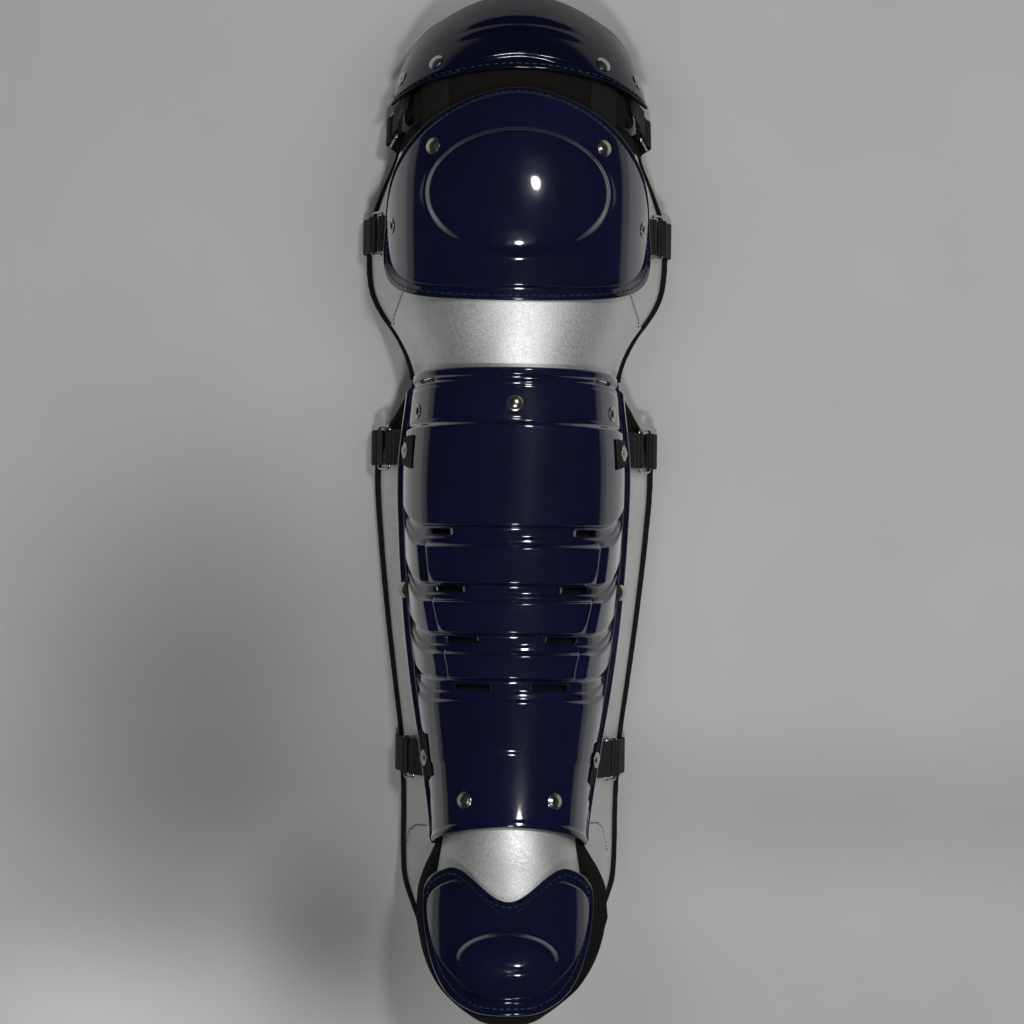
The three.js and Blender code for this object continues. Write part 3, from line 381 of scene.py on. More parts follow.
# Materials
class Look:
    """A procedural material, with a short call for each kind of node that the finishes share."""

    def __init__(self, name):
        self.material = bpy.data.materials.new(name)
        self.material.use_nodes = True
        self.tree = self.material.node_tree
        coords = self.node("ShaderNodeTexCoord")
        self.where = coords.outputs["Object"]
        self.cloth = coords.outputs["UV"]

    def feed(self, node, inputs):
        """Sets each input of a node, or links it where it is given another node's output."""
        for key, value in inputs.items():
            if isinstance(value, bpy.types.NodeSocket):
                self.tree.links.new(value, node.inputs[key])
            else:
                node.inputs[key].default_value = value

    def node(self, kind, inputs=None, **settings):
        node = self.tree.nodes.new(kind)
        for key, value in settings.items():
            setattr(node, key, value)
        self.feed(node, inputs or {})
        return node

    def noise(self, scale, detail, roughness=0.5):
        inputs = {"Vector": self.where, "Scale": scale, "Detail": detail, "Roughness": roughness}
        return self.node("ShaderNodeTexNoise", inputs).outputs["Fac"]

    def ramp(self, value, low, high, first=0.0, second=1.0, shape="LINEAR"):
        inputs = {"Value": value, "From Min": low, "From Max": high, "To Min": first, "To Max": second}
        return self.node("ShaderNodeMapRange", inputs, interpolation_type=shape).outputs["Result"]

    def mixed(self, factor, first, second):
        inputs = {"Factor": factor, "A": (*first, 1), "B": (*second, 1)}
        return self.node("ShaderNodeMix", inputs, data_type="RGBA").outputs["Result"]

    def combine(self, operation, a, b=0.0):
        return self.node("ShaderNodeMath", {0: a, 1: b}, operation=operation).outputs[0]

    def vector(self, operation, inputs, output="Vector"):
        return self.node("ShaderNodeVectorMath", inputs, operation=operation).outputs[output]

    def bump(self, height, strength, distance, base=None):
        inputs = {"Height": height, "Strength": strength, "Distance": distance}
        if base is not None:
            inputs["Normal"] = base
        return self.node("ShaderNodeBump", inputs).outputs["Normal"]

    def wave(self, axis, pitch):
        """A sine from 0 to 1 along one way of the cloth, its pitch in millimetres."""
        along_axis = self.node("ShaderNodeSeparateXYZ", {"Vector": self.cloth}).outputs[axis]
        turn = self.combine("MULTIPLY", along_axis, 2 * math.pi * UV_UNIT / pitch)
        return self.ramp(self.combine("SINE", turn), -1, 1)

    def finish(self, inputs):
        self.feed(self.tree.nodes["Principled BSDF"], inputs)
        return self.material


def shell_plastic():
    """Navy gloss plastic under a clear coat, with a slow ripple and fine specks."""
    look = Look("shell_plastic_look")
    cloud = look.ramp(look.noise(18, 3), 0.3, 0.7)
    ripple = look.bump(look.noise(55, 1), 0.12, 0.0006)
    return look.finish({
        "Base Color": look.mixed(cloud, (0.0023, 0.0030, 0.0122), (0.0030, 0.0039, 0.0158)),
        "Roughness": look.ramp(look.noise(60, 4, 0.6), 0.35, 0.75, 0.24, 0.32),
        "IOR": 1.45,
        "Specular IOR Level": 0.05,
        "Coat Weight": 1.0,
        "Coat IOR": 1.5,
        "Coat Roughness": 0.06,
        "Normal": look.bump(look.noise(900, 1), 0.02, 0.0001, ripple),
    })


def silver_vinyl():
    """Metallic silver vinyl with a fine grain, small sparkles and slow clouds."""
    look = Look("silver_vinyl_look")
    fine = look.noise(1500, 1)
    grain = look.noise(520, 2)
    sparkle = look.mixed(look.ramp(fine, 0.35, 0.68), (0.72, 0.72, 0.71), (0.97, 0.97, 0.955))
    cloud = look.mixed(look.ramp(look.noise(22, 3), 0.3, 0.7), (0.9, 0.9, 0.9), (1, 1, 1))
    both = {"Factor": 1.0, "A": sparkle, "B": cloud}
    tone = look.node("ShaderNodeMix", both, data_type="RGBA", blend_type="MULTIPLY")
    return look.finish({
        "Base Color": tone.outputs["Result"],
        "Metallic": 0.85,
        "Roughness": look.ramp(grain, 0.3, 0.7, 0.46, 0.58),
        "Normal": look.bump(fine, 0.35, 0.0001, look.bump(grain, 0.35, 0.0002)),
    })


def woven(name, dark, light, pitch, strength):
    """A plain weave of two crossed waves, its pitch in millimetres."""
    look = Look(name)
    weave = look.combine("MAXIMUM", look.wave("X", pitch), look.wave("Y", pitch))
    height = look.combine("MULTIPLY", weave, look.ramp(look.noise(900, 2), 0.2, 0.8, 0.6, 1.2))
    return look.finish({
        "Base Color": look.mixed(height, dark, light),
        "Roughness": 0.9,
        "Specular IOR Level": 0.2,
        "Normal": look.bump(height, strength, 0.0004),
    })


def webbing():
    """Black webbing with ribs across its length and fine yarns along it."""
    look = Look("black_webbing_look")
    height = look.combine("ADD", look.wave("X", 2.6), look.combine("MULTIPLY", look.wave("Y", 0.9), 0.35))
    height = look.combine("ADD", height, look.combine("MULTIPLY", look.noise(800, 2), 0.4))
    tone = look.ramp(height, 0.2, 1.5)
    return look.finish({
        "Base Color": look.mixed(tone, (0.0012, 0.0012, 0.0012), (0.0085, 0.0083, 0.0075)),
        "Roughness": 0.6,
        "Normal": look.bump(height, 0.9, 0.0005),
    })


def nickel_plate():
    look = Look("nickel_look")
    cloud = look.noise(260, 4, 0.6)
    return look.finish({
        "Base Color": look.mixed(look.ramp(cloud, 0.35, 0.7), (0.52, 0.49, 0.43), (0.72, 0.69, 0.62)),
        "Metallic": 1.0,
        "Roughness": look.ramp(cloud, 0.3, 0.7, 0.14, 0.28),
        "Normal": look.bump(cloud, 0.15, 0.0002),
    })


def thread_look(name, dark, light):
    look = Look(name)
    twist = look.noise(700, 2)
    return look.finish({
        "Base Color": look.mixed(look.ramp(twist, 0.35, 0.65), dark, light),
        "Roughness": 0.35,
        "Normal": look.bump(twist, 0.4, 0.0002),
    })


SHELL = shell_plastic()
SILVER = silver_vinyl()
BLACK = woven("black_fabric_look", (0.0025, 0.0025, 0.0025), (0.009, 0.009, 0.0085), 0.9, 0.6)
MESH = woven("hinge_mesh_look", (0.0008, 0.0007, 0.0006), (0.014, 0.0125, 0.0095), 1.7, 1.0)
COARSE = woven("hinge_web_look", (0.0006, 0.0006, 0.0006), (0.022, 0.0205, 0.017), 2.4, 1.0)
WEBBING = webbing()
NICKEL = nickel_plate()
THREAD = thread_look("shell_thread_look", (0.002, 0.008, 0.016), (0.008, 0.05, 0.062))
DARK_THREAD = thread_look("dark_thread_look", (0.01, 0.01, 0.01), (0.05, 0.05, 0.05))

# Rims and shin shell
RIM = 1.2
RIM_STEPS = [0, 0.12, 0.4, 0.8, 1.3]
FACE_RISE = 0.9
RELIEF_SOFT = 0.7
RIDGE_HEIGHT = 1.5
PANEL_CORNER = 6.0
FINE_STEP = 0.62
COARSE_STEP = 2.6
SLOT_INSET = 2.2
TOP_SLOT = {"from_top": (6.3, 8.4), "arc": (52, 66)}

# Distance from the shell's top edge and height, above the grooves and below them
UPPER_RELIEF = [(0, 1.3), (0.8, 1.9), (5.2, 1.9), (6.2, 0.4), (8.4, 0.4), (9.4, 1.5), (10.8, 1.5),
                (11.4, 1.0), (12.4, 1.6), (33.4, 1.7), (34.4, 0.9), (36, 0.9), (38.6, 3.2)]
LOWER_RELIEF = [(253.5, 3.2), (256.5, 2.0), (299.5, 2.0), (301, 2.6), (304, 2.6), (305, 2.2)]
# Share of a groove's span, from its high edge down, and height
GROOVE_RELIEF = [(0.08, 0.6), (0.2, 0.15), (0.55, 0.15), (0.63, 1.2), (0.8, 1.5), (0.9, 1.6)]
# Distance from the edge of a panel's face and height of the band beside it
BAND_RELIEF = [(0, -0.4), (0.6, -0.4), (7, 1.4), (8, 1.3), (26, -0.6)]


def rim(distance, radius):
    """How far a rounded rim falls back at a distance from the edge."""
    inside = np.clip(radius - distance, 0, radius)
    return radius - np.sqrt(np.maximum(radius**2 - inside**2, 0))


def face_share(share):
    """Half the width of a panel's face at a share of the shell's length, as a share of its edge."""
    rows = [(0, FACE_SIDE), *((groove["high"], groove["face"]) for groove in GROOVES), (1, FACE_SIDE)]
    return along(np.array(rows, float), share)[..., 0]


def warped(share, side):
    """The station of a place on the shin shell, whose rows bend as they run to the sides."""
    both = along(WARPS, share)
    climb = np.clip((np.abs(side) - FACE_SIDE) / (WALL_SIDE - FACE_SIDE), 0, 1)
    top = TOP_CORNER * smoothstep(share, 0.78, 1) * np.abs(side) ** 9
    bottom = BOTTOM_CORNER * smoothstep(share, 0.06, 0) * smoothstep(np.abs(side), 0.9, 1)
    return (share + both[..., 0] * climb**2.2 - both[..., 1] * side**2) * SHIN_LENGTH - top + bottom


def groove_ends(groove):
    """The distances of a groove's high and low edges from the shell's top edge."""
    return (1 - groove["high"]) * SHIN_LENGTH, (1 - groove["low"]) * SHIN_LENGTH


def relief_rows():
    """The height of the shin shell by distance from its top edge, and how much panel it is there."""
    rows = list(UPPER_RELIEF)
    panel = [(0, 0), (38, 0)]
    for groove in reversed(GROOVES):
        high, low = groove_ends(groove)
        span = low - high
        rows.append((high - 0.4, 3.2))
        rows += [(high + share * span, height) for share, height in GROOVE_RELIEF]
        rows.append((low + 0.3, 3.2))
        panel += [(high, 0)] if groove is GROOVES[-1] else [(high - 0.4, 1), (high + 0.1 * span, 0)]
        panel += [(low, 0)] if groove is GROOVES[0] else [(low - 0.2 * span, 0), (low + 0.3, 1)]
    return rows + LOWER_RELIEF, panel + [(SHIN_LENGTH, 0)]


RELIEF, PANELNESS = relief_rows()


def shin_relief(share, arc, edge):
    """The height of the shin shell at a share of its length and an arc place."""
    from_top = (1 - share) * SHIN_LENGTH
    side = arc / edge
    face = face_share(share) * edge
    base = profile(from_top, RELIEF, RELIEF_SOFT) * (1 - smoothstep(side, 0.84, WALL_SIDE))
    face_height = FACE_RISE * (1 - smoothstep(arc - face, -0.5, 0.5))
    for groove in GROOVES[1:]:
        low, _ = groove_ends(groove)
        dx = np.maximum(arc - (face - PANEL_CORNER), 0)
        dy = np.maximum(from_top - (low - PANEL_CORNER), 0) * (from_top < low + 8)
        outside = np.hypot(dx, dy) - PANEL_CORNER
        rounded = FACE_RISE * (1 - smoothstep(outside, -0.5, 0.5))
        face_height = np.where((dx > 0) & (dy > 0), rounded, face_height)
    band = profile(arc - face, BAND_RELIEF, 0.5)
    band = band * smoothstep(arc - face, 0, 0.8) * (1 - smoothstep(side, 0.8, WALL_SIDE))
    ridge = np.clip((side - WALL_SIDE) / (1 - WALL_SIDE), 0, 1)
    panel = profile(from_top, PANELNESS, RELIEF_SOFT)
    return base + panel * (face_height + band) + RIDGE_HEIGHT * np.sin(2 * math.pi * ridge) ** 2


def shin_rows():
    """Distances from the top edge, close together where the relief changes."""
    fine = [(0, 14), (32, 41), (251, 259), (297, SHIN_LENGTH)]
    for groove in GROOVES:
        high, low = groove_ends(groove)
        fine.append((high - 2.5, low + 2.5))
    marks = []
    for low, high in sorted(fine):
        marks.extend(spread([low, high], FINE_STEP))
    rim_rows = {0.12, 0.4, SHIN_LENGTH - 0.12, SHIN_LENGTH - 0.4}
    return np.array(sorted(set(np.round(spread(sorted(marks), COARSE_STEP), 4)) | rim_rows))


def shin_columns(face, edge):
    """Arc places across the shell, close at the faces' edges, on the ridges and at the rim."""
    columns = [(face - 6.5) * u for u in np.linspace(0, 1, 19)[:-1]]
    columns += [face - d for d in (6.5, 5.4, 4.3, 3.3, 2.4, 1.6, 0.9, 0.45, 0)]
    columns += [face + d for d in (0.45, 0.9, 1.6, 3, 4.6, 6.2, 7.0, 7.8, 8.8)]
    columns += [lerp(face + 8.8, 0.835 * edge, u) for u in np.linspace(0, 1, 9)[1:]]
    columns += [lerp(0.835, WALL_SIDE, u) * edge for u in np.linspace(0, 1, 7)[1:]]
    columns += [lerp(WALL_SIDE * edge, edge - RIM_STEPS[-1], u) for u in np.linspace(0, 1, 17)[1:]]
    columns += [edge - d for d in RIM_STEPS[-2::-1]]
    half = np.stack(columns, 1)
    return np.concatenate([-half[:, :0:-1], half], 1)


def shin_shell():
    from_top = shin_rows()[::-1]
    share = 1 - from_top / SHIN_LENGTH
    edge = Section(share * SHIN_LENGTH).edge
    face = face_share(share) * edge
    arc = shin_columns(face, edge)
    shares, edges, tops = (np.repeat(row[:, None], arc.shape[1], 1) for row in (share, edge, from_top))
    side = arc / edges
    v = warped(shares, side)
    p = side * Section(v).edge
    rise = shin_relief(shares, np.abs(arc), edges)
    to_edge = np.minimum(np.minimum(edges - np.abs(arc), tops), SHIN_LENGTH - tops)
    cut = rim(to_edge, RIM)
    outer = form(v, p, SHELL_LIFT + rise - cut)
    inner = form(v, p, SHELL_LIFT + rise - SHELL_WALL + cut)
    middle_top = ((from_top[1:] + from_top[:-1]) / 2)[:, None]
    middle_arc = (np.abs(arc)[1:, 1:] + np.abs(arc)[:-1, :-1]) / 2
    inside = ((face[1:] + face[:-1]) / 2)[:, None] - middle_arc
    low, high = TOP_SLOT["from_top"]
    start, end = TOP_SLOT["arc"]
    slots = (middle_top > low) & (middle_top < high) & (middle_arc > start) & (middle_arc < end)
    for groove in GROOVES:
        low, high = ((1 - share) * SHIN_LENGTH for share in reversed(groove["slot"]))
        in_row = (middle_top > low) & (middle_top < high)
        slots |= in_row & (inside > SLOT_INSET) & (inside < groove["reach"])
    return slab("shin_shell_look", outer, inner, SHELL, mask=~slots)


place(shin_shell(), "shell_plastic", "shin_shell")


# Caps, each of rings round a centre
def oval(low, length, at, half, up, down, up_power=2, down_power=2):
    """An oval by shares of a cap's length and of the half width, with its own powers up and down."""
    return {"v": low + at * length, "half": half * HALF_WIDTH, "up": up * length, "down": down * length,
            "up_power": up_power, "down_power": down_power}


def outline_point(outline, turn):
    c = np.cos(turn)
    s = np.sin(turn)
    reach = np.where(s > 0, outline["up"], outline["down"])
    power = np.where(s > 0, outline["up_power"], outline["down_power"])
    grow = (np.abs(c) ** power + np.abs(s) ** power) ** (-1 / power)
    return np.stack([outline["v"] + reach * s * grow, outline["half"] * c * grow], -1)


TOE_HALF = 0.68 * HALF_WIDTH
TOE_EAR = 0.54 * INSTEP_LENGTH
TOE_WAIST = 0.16 * INSTEP_LENGTH


def toe_edge(turn, grow=0.0):
    """The toe cap's outline: round below, with a hollow between two ears above."""
    c = np.cos(turn)
    s = np.sin(turn)
    side = np.sign(c) * np.abs(c) ** np.where(s < 0, 0.8, 1.1)
    below = TOE_TOP + TOE_WAIST
    top = TOE_TOP + TOE_EAR * smoothstep(np.abs(side), 0, 0.62)
    low_v = below - (below - TOE_TIP + grow) * np.abs(s) ** 1.54
    high_v = below + (top - below) * np.abs(s) ** 0.5
    return np.stack([np.where(s < 0, low_v, high_v), (TOE_HALF + 1.5 * grow) * side], -1)


def even_turns(curve, count):
    """Turns that space the points of a closed curve evenly along it."""
    turn = np.linspace(0, 2 * math.pi, 4000)
    run = run_along(curve(turn))
    return np.interp(np.linspace(0, run[-1], count + 1)[:-1], run, turn)


RING_SHARES = [*np.linspace(0, 0.8, 17), 0.84, 0.87, 0.895, 0.915, 0.93, 0.945, 0.96, 0.975, 0.99]
FOOT_STEPS = [0, 0.5, 1.0, 1.6, 2.3, 3.2]
BEAD_STEPS = np.linspace(1.8, -1.0, 8)
BOSS_SOFT = 0.6
OUTER_REACH = 45


def ring_grid(edge, foot, centre, width):
    """Rings from the centre to the boss's foot, then over the bead and the flange to the outline."""
    distance = np.linalg.norm(edge - foot, axis=1)
    near = [np.minimum(d, 0.2 * distance) for d in FOOT_STEPS]
    runs = near + [lerp(near[-1], distance - width - 2.2, u) for u in np.linspace(0, 1, 11)[1:]]
    runs += [distance - width - d for d in BEAD_STEPS]
    runs += [distance - lerp(width - 1.0, RIM_STEPS[-1], u) for u in np.linspace(0, 1, 7)[1:]]
    runs += [distance - d for d in RIM_STEPS[-2::-1]]
    places = [centre + (foot - centre) * share for share in RING_SHARES]
    return np.stack(places + [lerp(foot, edge, (run / distance)[:, None]) for run in runs])


def cap(name, outline, boss, boss_rows, low_soft, flange, flare, creases, sides):
    """A shell whose height over the boss follows the distance from the boss's foot."""
    turn = even_turns(outline, sides)
    edge = outline(turn)
    centre = np.array([boss["v"], 0.0])
    reach = outline_point(boss, turn) - centre
    width = flange(turn)
    grid = ring_grid(edge, centre + reach, centre, width)
    v, p = grid[..., 0], grid[..., 1]
    share = np.sum((grid - centre) * reach, -1) / np.sum(reach**2, -1)
    outside = np.minimum(np.linalg.norm(reach, axis=1), OUTER_REACH)
    from_foot = (share - 1) * np.where(share < 1, boss["up"], outside)
    to_edge = np.linalg.norm(grid - edge, axis=-1)
    low = smoothstep(-np.sin(turn), 0.15, 0.75)
    on_boss = lerp(profile(from_foot, boss_rows, BOSS_SOFT), profile(from_foot, boss_rows, low_soft), low)
    fall = profile(to_edge - width, [(-1.2, 0), (-0.4, 0.05), (0.9, 1), (30, 1)], 0.5)
    rise = (on_boss + creases(v, p)) * fall + flare(v, p) * np.clip(1 - to_edge / width, 0, 1) * width
    cut = rim(to_edge, RIM)
    outer = form(v, p, SHELL_LIFT + rise - cut)
    inner = form(v, p, SHELL_LIFT + rise - SHELL_WALL + cut)
    return slab(name, outer, inner, SHELL, wrap=True, flip=True, weld=True)


THREAD_SHAPE = [(0.0, 0.3), (0.12, 0.8), (0.5, 1.15), (0.88, 0.8), (1.0, 0.3)]
THREAD_SIDES = 6


def thread_mesh(name, segments, radius, material):
    """Short threads, each from one (station, arc place, lift) to another."""
    points = []
    faces = []
    last = (len(THREAD_SHAPE) - 1) * THREAD_SIDES
    for a, b in segments:
        start = form(*a)
        end = form(*b)
        up = outward(np.asarray(a[0]), np.asarray(a[1]))
        axis = (end - start) / np.linalg.norm(end - start)
        aside = np.cross(axis, up)
        base = len(points)
        for share, size in THREAD_SHAPE:
            for angle in round_angles(THREAD_SIDES):
                spoke = aside * math.cos(angle) + up * math.sin(angle)
                points.append(start + (end - start) * share + spoke * radius * size)
        for first in range(base, base + last, THREAD_SIDES):
            for k in range(THREAD_SIDES):
                one = first + k
                two = first + (k + 1) % THREAD_SIDES
                faces.append((one, two, two + THREAD_SIDES, one + THREAD_SIDES))
        faces.append(tuple(base + k for k in range(THREAD_SIDES))[::-1])
        faces.append(tuple(base + last + k for k in range(THREAD_SIDES)))
    return mesh_object(name, np.array(points), faces, material)


def stitches(name, curve, flange, flare, inset, pitch, length):
    """Short threads along a closed curve of (station, arc place), set in from it on its flared flange."""
    turn = np.linspace(0, 2 * math.pi, 3000)
    path = curve(turn)
    tangent = np.gradient(path, axis=0)
    tangent /= np.linalg.norm(tangent, axis=1, keepdims=True)
    inward = np.stack([-tangent[:, 1], tangent[:, 0]], -1)
    inward *= np.sign(np.sum((path.mean(0) - path) * inward, 1))[:, None]
    path = path + inward * inset
    run = run_along(path)
    segments = []
    for start in np.linspace(0, run[-1], int(run[-1] / pitch), endpoint=False):
        ends = []
        for at in (start, start + length):
            v, p = (np.interp(at, run, path[:, k]) for k in range(2))
            above = flange(np.interp(at, run, turn)) - inset
            ends.append((v, p, SHELL_LIFT + THREAD_LIFT + flare(v, p) * above))
        segments.append(ends)
    return thread_mesh(name, segments, THREAD_RADIUS, THREAD)


def thigh_creases(v, p):
    """Two low steps across the thigh cap, which bend down and fade to the sides."""
    bend = 0.0011 * p**2
    one = smoothstep(v + bend, THIGH_LOW + 26, THIGH_LOW + 32)
    two = smoothstep(v + bend, THIGH_LOW + 34, THIGH_LOW + 40)
    return 1.7 * (one + two) * (1 - smoothstep(np.abs(p), 4, 46))


def no_creases(v, p):
    return 0 * v


THREAD_LIFT = 0.12
THREAD_RADIUS = 0.42
KNEE_OUTLINE = oval(KNEE_LOW, KNEE_CAP_LENGTH, 0.365, 1.2875, 0.635, 0.365, 1.8, 4.2)
THIGH_OUTLINE = oval(THIGH_LOW, THIGH_CAP_LENGTH, 0.36, 1.2375, 0.64, 0.36, 2.6, 4)

# flange: its width above and below. flare: its slope, and between which arc places it grows.
# rows: distance from the boss's foot, less than 0 inside it, and height. low_soft: how far they are
# rounded on the boss's lower side. stitch: inset, pitch, length.
CAPS = [
    {"node": "knee_cap", "outline": lambda turn: outline_point(KNEE_OUTLINE, turn),
     "boss": oval(KNEE_LOW, KNEE_CAP_LENGTH, 0.505, 0.7, 0.286, 0.293),
     "rows": [(-60, 9.8), (-30, 9.5), (-16, 8.7), (-8, 7.6), (-4, 6.7), (-2.6, 6.2), (-1.2, 4.0), (-0.4, 3.2),
              (0.6, 2.9), (1.4, 3.3), (2.4, 2.9), (60, 2.8)],
     "low_soft": 3.6, "flange": (5.0, 9.4), "flare": (0.62, 25, 62), "creases": no_creases, "sides": 230,
     "stitch": (3.4, 4.4, 3.1)},
    {"node": "thigh_cap", "outline": lambda turn: outline_point(THIGH_OUTLINE, turn),
     "boss": oval(THIGH_LOW, THIGH_CAP_LENGTH, 0.45, 0.75, 0.278, 0.278, 2, 3),
     "rows": [(-60, 3.2), (0, 3.0), (60, 3.0)],
     "low_soft": 3.6, "flange": (5.0, 8.5), "flare": (0.62, 25, 62), "creases": thigh_creases, "sides": 220,
     "stitch": (3.2, 4.4, 3.1)},
    {"node": "toe_cap", "outline": toe_edge, "boss": oval(TOE_TOP, TOE_CAP_LENGTH, -0.47, 0.33, 0.185, 0.18),
     "rows": [(-60, 7.4), (-16, 7.2), (-10, 6.8), (-6, 6.3), (-3.6, 5.8), (-2.2, 5.2), (-1, 4.3), (0, 3.3),
              (1.2, 3.4), (2.6, 3.0), (60, 3.0)],
     "low_soft": 2.4, "flange": (9.0, 9.0), "flare": (0.4, 12, 36), "creases": no_creases, "sides": 220,
     "stitch": (4.0, 3.6, 2.5)},
]


def make_cap(row):
    def flange(turn):
        return lerp(*row["flange"], smoothstep(-np.sin(turn), -0.1, 0.7))

    def flare(v, p):
        slope, low, high = row["flare"]
        return slope * smoothstep(np.abs(p), low, high)

    shell = cap(row["node"] + "_look", row["outline"], row["boss"], row["rows"], row["low_soft"],
                flange, flare, row["creases"], row["sides"])
    place(shell, "shell_plastic", row["node"])
    place(stitches(row["node"] + "_stitches", row["outline"], flange, flare, *row["stitch"]), "black_fabric")


for row in CAPS:
    make_cap(row)


# Pads
WING_LOW = 1.04 * TOE_TOP
WING_HIGH = 0.945 * SHIN_TOP
KNEE_PAD_LOW = SHIN_TOP - TUCK
KNEE_PAD_HIGH = KNEE_TOP - 1
TOE_PAD_HIGH = 10
SHIN_PAD_LOW = TOE_PAD_HIGH + PAD_APART
EDGE_STEPS = [0, 0.3, 0.8, 1.5, 2.4]
PAD_RIM = 2.3
SIDES = (("left", -1), ("right", 1))


def even(value):
    return lambda side: value + 0 * side


def pad_thickness(v, p):
    edge = Section(v).edge
    return lerp(PAD_THICKNESS, WING_THICKNESS, smoothstep(np.abs(p), 0.8 * edge, 1.25 * edge))


def channels(at, pitch):
    """Quilting, a rounded channel in the middle of every pitch."""
    return 1.2 * np.exp(-((np.mod(at, pitch) - pitch / 2) / 2.2) ** 2)


def end_distance(steps, length, side, half):
    """The distance to the nearer edge of a grid, from shares along it and from -1 to 1 across it."""
    return np.minimum(np.minimum(steps, 1 - steps)[:, None] * length, (1 - np.abs(side))[None, :] * half)


def pad_skin(name, v, p, distance, puff, material, quilt, black=None):
    """A padded body: crowned outside, quilted inside, rounded at its edges."""
    thick = pad_thickness(v, p)
    cut = rim(distance, PAD_RIM)
    outer = form(v, p, puff - cut)
    inner = form(v, p, quilt - thick + 0.9 * cut * thick / WING_THICKNESS)
    obj = slab(name, outer, inner, material, uv=np.stack([p, v], -1))
    if black is not None:
        middles = (0.25 * (at[1:, 1:] + at[:-1, 1:] + at[1:, :-1] + at[:-1, :-1]) for at in (v, p))
        cells = black(*middles).astype(int).ravel()
        index = np.ones(len(obj.data.polygons), int)
        index[:len(cells)] = cells
        obj.data.materials.append(BLACK)
        obj.data.polygons.foreach_set("material_index", index)
    return obj


def place_pad(obj, slot, node):
    place(obj, slot, node)


def wing_grid(edge_table, low, high, rows):
    """Stations and arc places from edge to edge, with close columns at both wings' edges."""
    ends = np.array([0, 0.4, 1.1, 2.2]) / 100
    steps = np.concatenate([ends, np.linspace(0.03, 0.97, rows), 1 - ends[::-1]])
    shares = np.linspace(0, 1, 27)
    columns = [("body", u) for u in shares[:-1]] + [("wing", u) for u in shares]
    columns += [("edge", d) for d in EDGE_STEPS[-2::-1]]
    v_columns = []
    p_columns = []
    for kind, value in columns:
        k = {"body": 5 * value, "wing": 6 + 2 * value, "edge": 8}[kind]
        v = lerp(low(k), high(k), steps)
        body = Section(v).body
        tip = wing_edge(v, edge_table)
        wing = lerp(body, tip - EDGE_STEPS[-1], value)
        v_columns.append(v)
        p_columns.append({"body": value * body, "wing": wing, "edge": tip - value}[kind])
    v = np.stack(v_columns, 1)
    p = np.stack(p_columns, 1)
    return np.concatenate([v[:, :0:-1], v], 1), np.concatenate([-p[:, :0:-1], p], 1), steps


def shin_low(k):
    lows = [SHIN_PAD_LOW] * 5 + [0.7 * SHIN_PAD_LOW, 0.15 * SHIN_PAD_LOW, 0.84 * WING_LOW, WING_LOW]
    return np.interp(k, range(9), lows)


def shin_high(k):
    return lerp(KNEE_PAD_LOW - PAD_APART, WING_HIGH, smoothstep(k, 4, 8))


def winged_pad(name, edge_table, low, high, rows, seed, black):
    """A pad with both its wings, from low to high at each of nine lines from the crest out."""
    v, p, steps = wing_grid(edge_table, low, high, rows)
    to_tip = wing_edge(v, edge_table) - np.abs(p)
    distance = np.minimum(to_tip, np.minimum(steps, 1 - steps)[:, None] * (v[-1] - v[0]))
    edge = Section(v).edge
    on_wing = smoothstep(np.abs(p), edge, edge + 8)
    crown = 0.7 * on_wing * smoothstep(to_tip, 0, 12)
    creases = 0.45 * on_wing * noise(p, v, seed, 34) * smoothstep(to_tip, 1, 10)
    quilt = channels(v - low(0), 38) * smoothstep(distance, 2, 9)
    return pad_skin(name, v, p, distance, crown + creases, SILVER, quilt, black)


def shin_black(v, p):
    """Where the shin pad's outer skin is black fabric: under the shell and at the wings' top."""
    body = Section(v).body
    return (np.abs(p) < np.where(v < 20, body + 3, 0.85 * body)) | (v > 252)


def knee_black(v, p):
    """Where the knee pad's outer skin is black fabric: under the cap and at its top."""
    body = Section(v).body
    middle = (np.abs(p) < 0.72 * body) | ((v > KNEE_TOP - 34) & (np.abs(p) < body + 2))
    return middle | (v > KNEE_TOP - 18)


shin_pad = winged_pad("shin_pad_look", SHIN_EDGE, shin_low, shin_high, 110, 5, shin_black)
place_pad(shin_pad, "silver_vinyl", "shin_pad")
knee_ends = even(KNEE_PAD_LOW), even(KNEE_PAD_HIGH)
knee_pad = winged_pad("knee_pad_look", KNEE_EDGE, *knee_ends, 80, 9, knee_black)
place_pad(knee_pad, "silver_vinyl", "knee_pad")

# Bindings along the wings' edges
BINDING_CLEAR = 1.4
BINDING_WIDTH = 3.4


def binding(name, edge_table, low, high, sign):
    """A soft band with rounded corners along a wing's edge."""
    v = np.linspace(low, high, 150)
    middle = wing_edge(v, edge_table) + (BINDING_CLEAR + BINDING_WIDTH) / 2
    rings = []
    uvs = []
    for k, angle in enumerate(sign * round_angles(16)):
        c = math.cos(angle)
        s = math.sin(angle)
        across = np.sign(c) * abs(c) ** 0.75 * (BINDING_WIDTH / 2 + 2.4) - 1.2
        up = np.sign(s) * abs(s) ** 0.75 * (WING_THICKNESS / 2 + 2.0)
        ripple = 0.12 * noise(v, 0 * v + k, 3, 9)
        rings.append(form(v, sign * (middle + across), up - WING_THICKNESS / 2 + ripple))
        uvs.append(np.stack([v, 0 * v + k * 1.1], -1))
    return tube(name, np.stack(rings, 1)[::-1], BLACK, uv=np.stack(uvs, 1)[::-1])


BINDINGS = (("knee", KNEE_EDGE, KNEE_PAD_LOW, KNEE_PAD_HIGH), ("shin", SHIN_EDGE, WING_LOW, WING_HIGH))
for side_name, sign in SIDES:
    for part, edge_table, low, high in BINDINGS:
        node = f"{part}_binding_{side_name}"
        place(binding(node + "_look", edge_table, low, high, sign), "black_fabric", node)


# Thin sheets laid on the pads
SHEET_RIM = 0.45


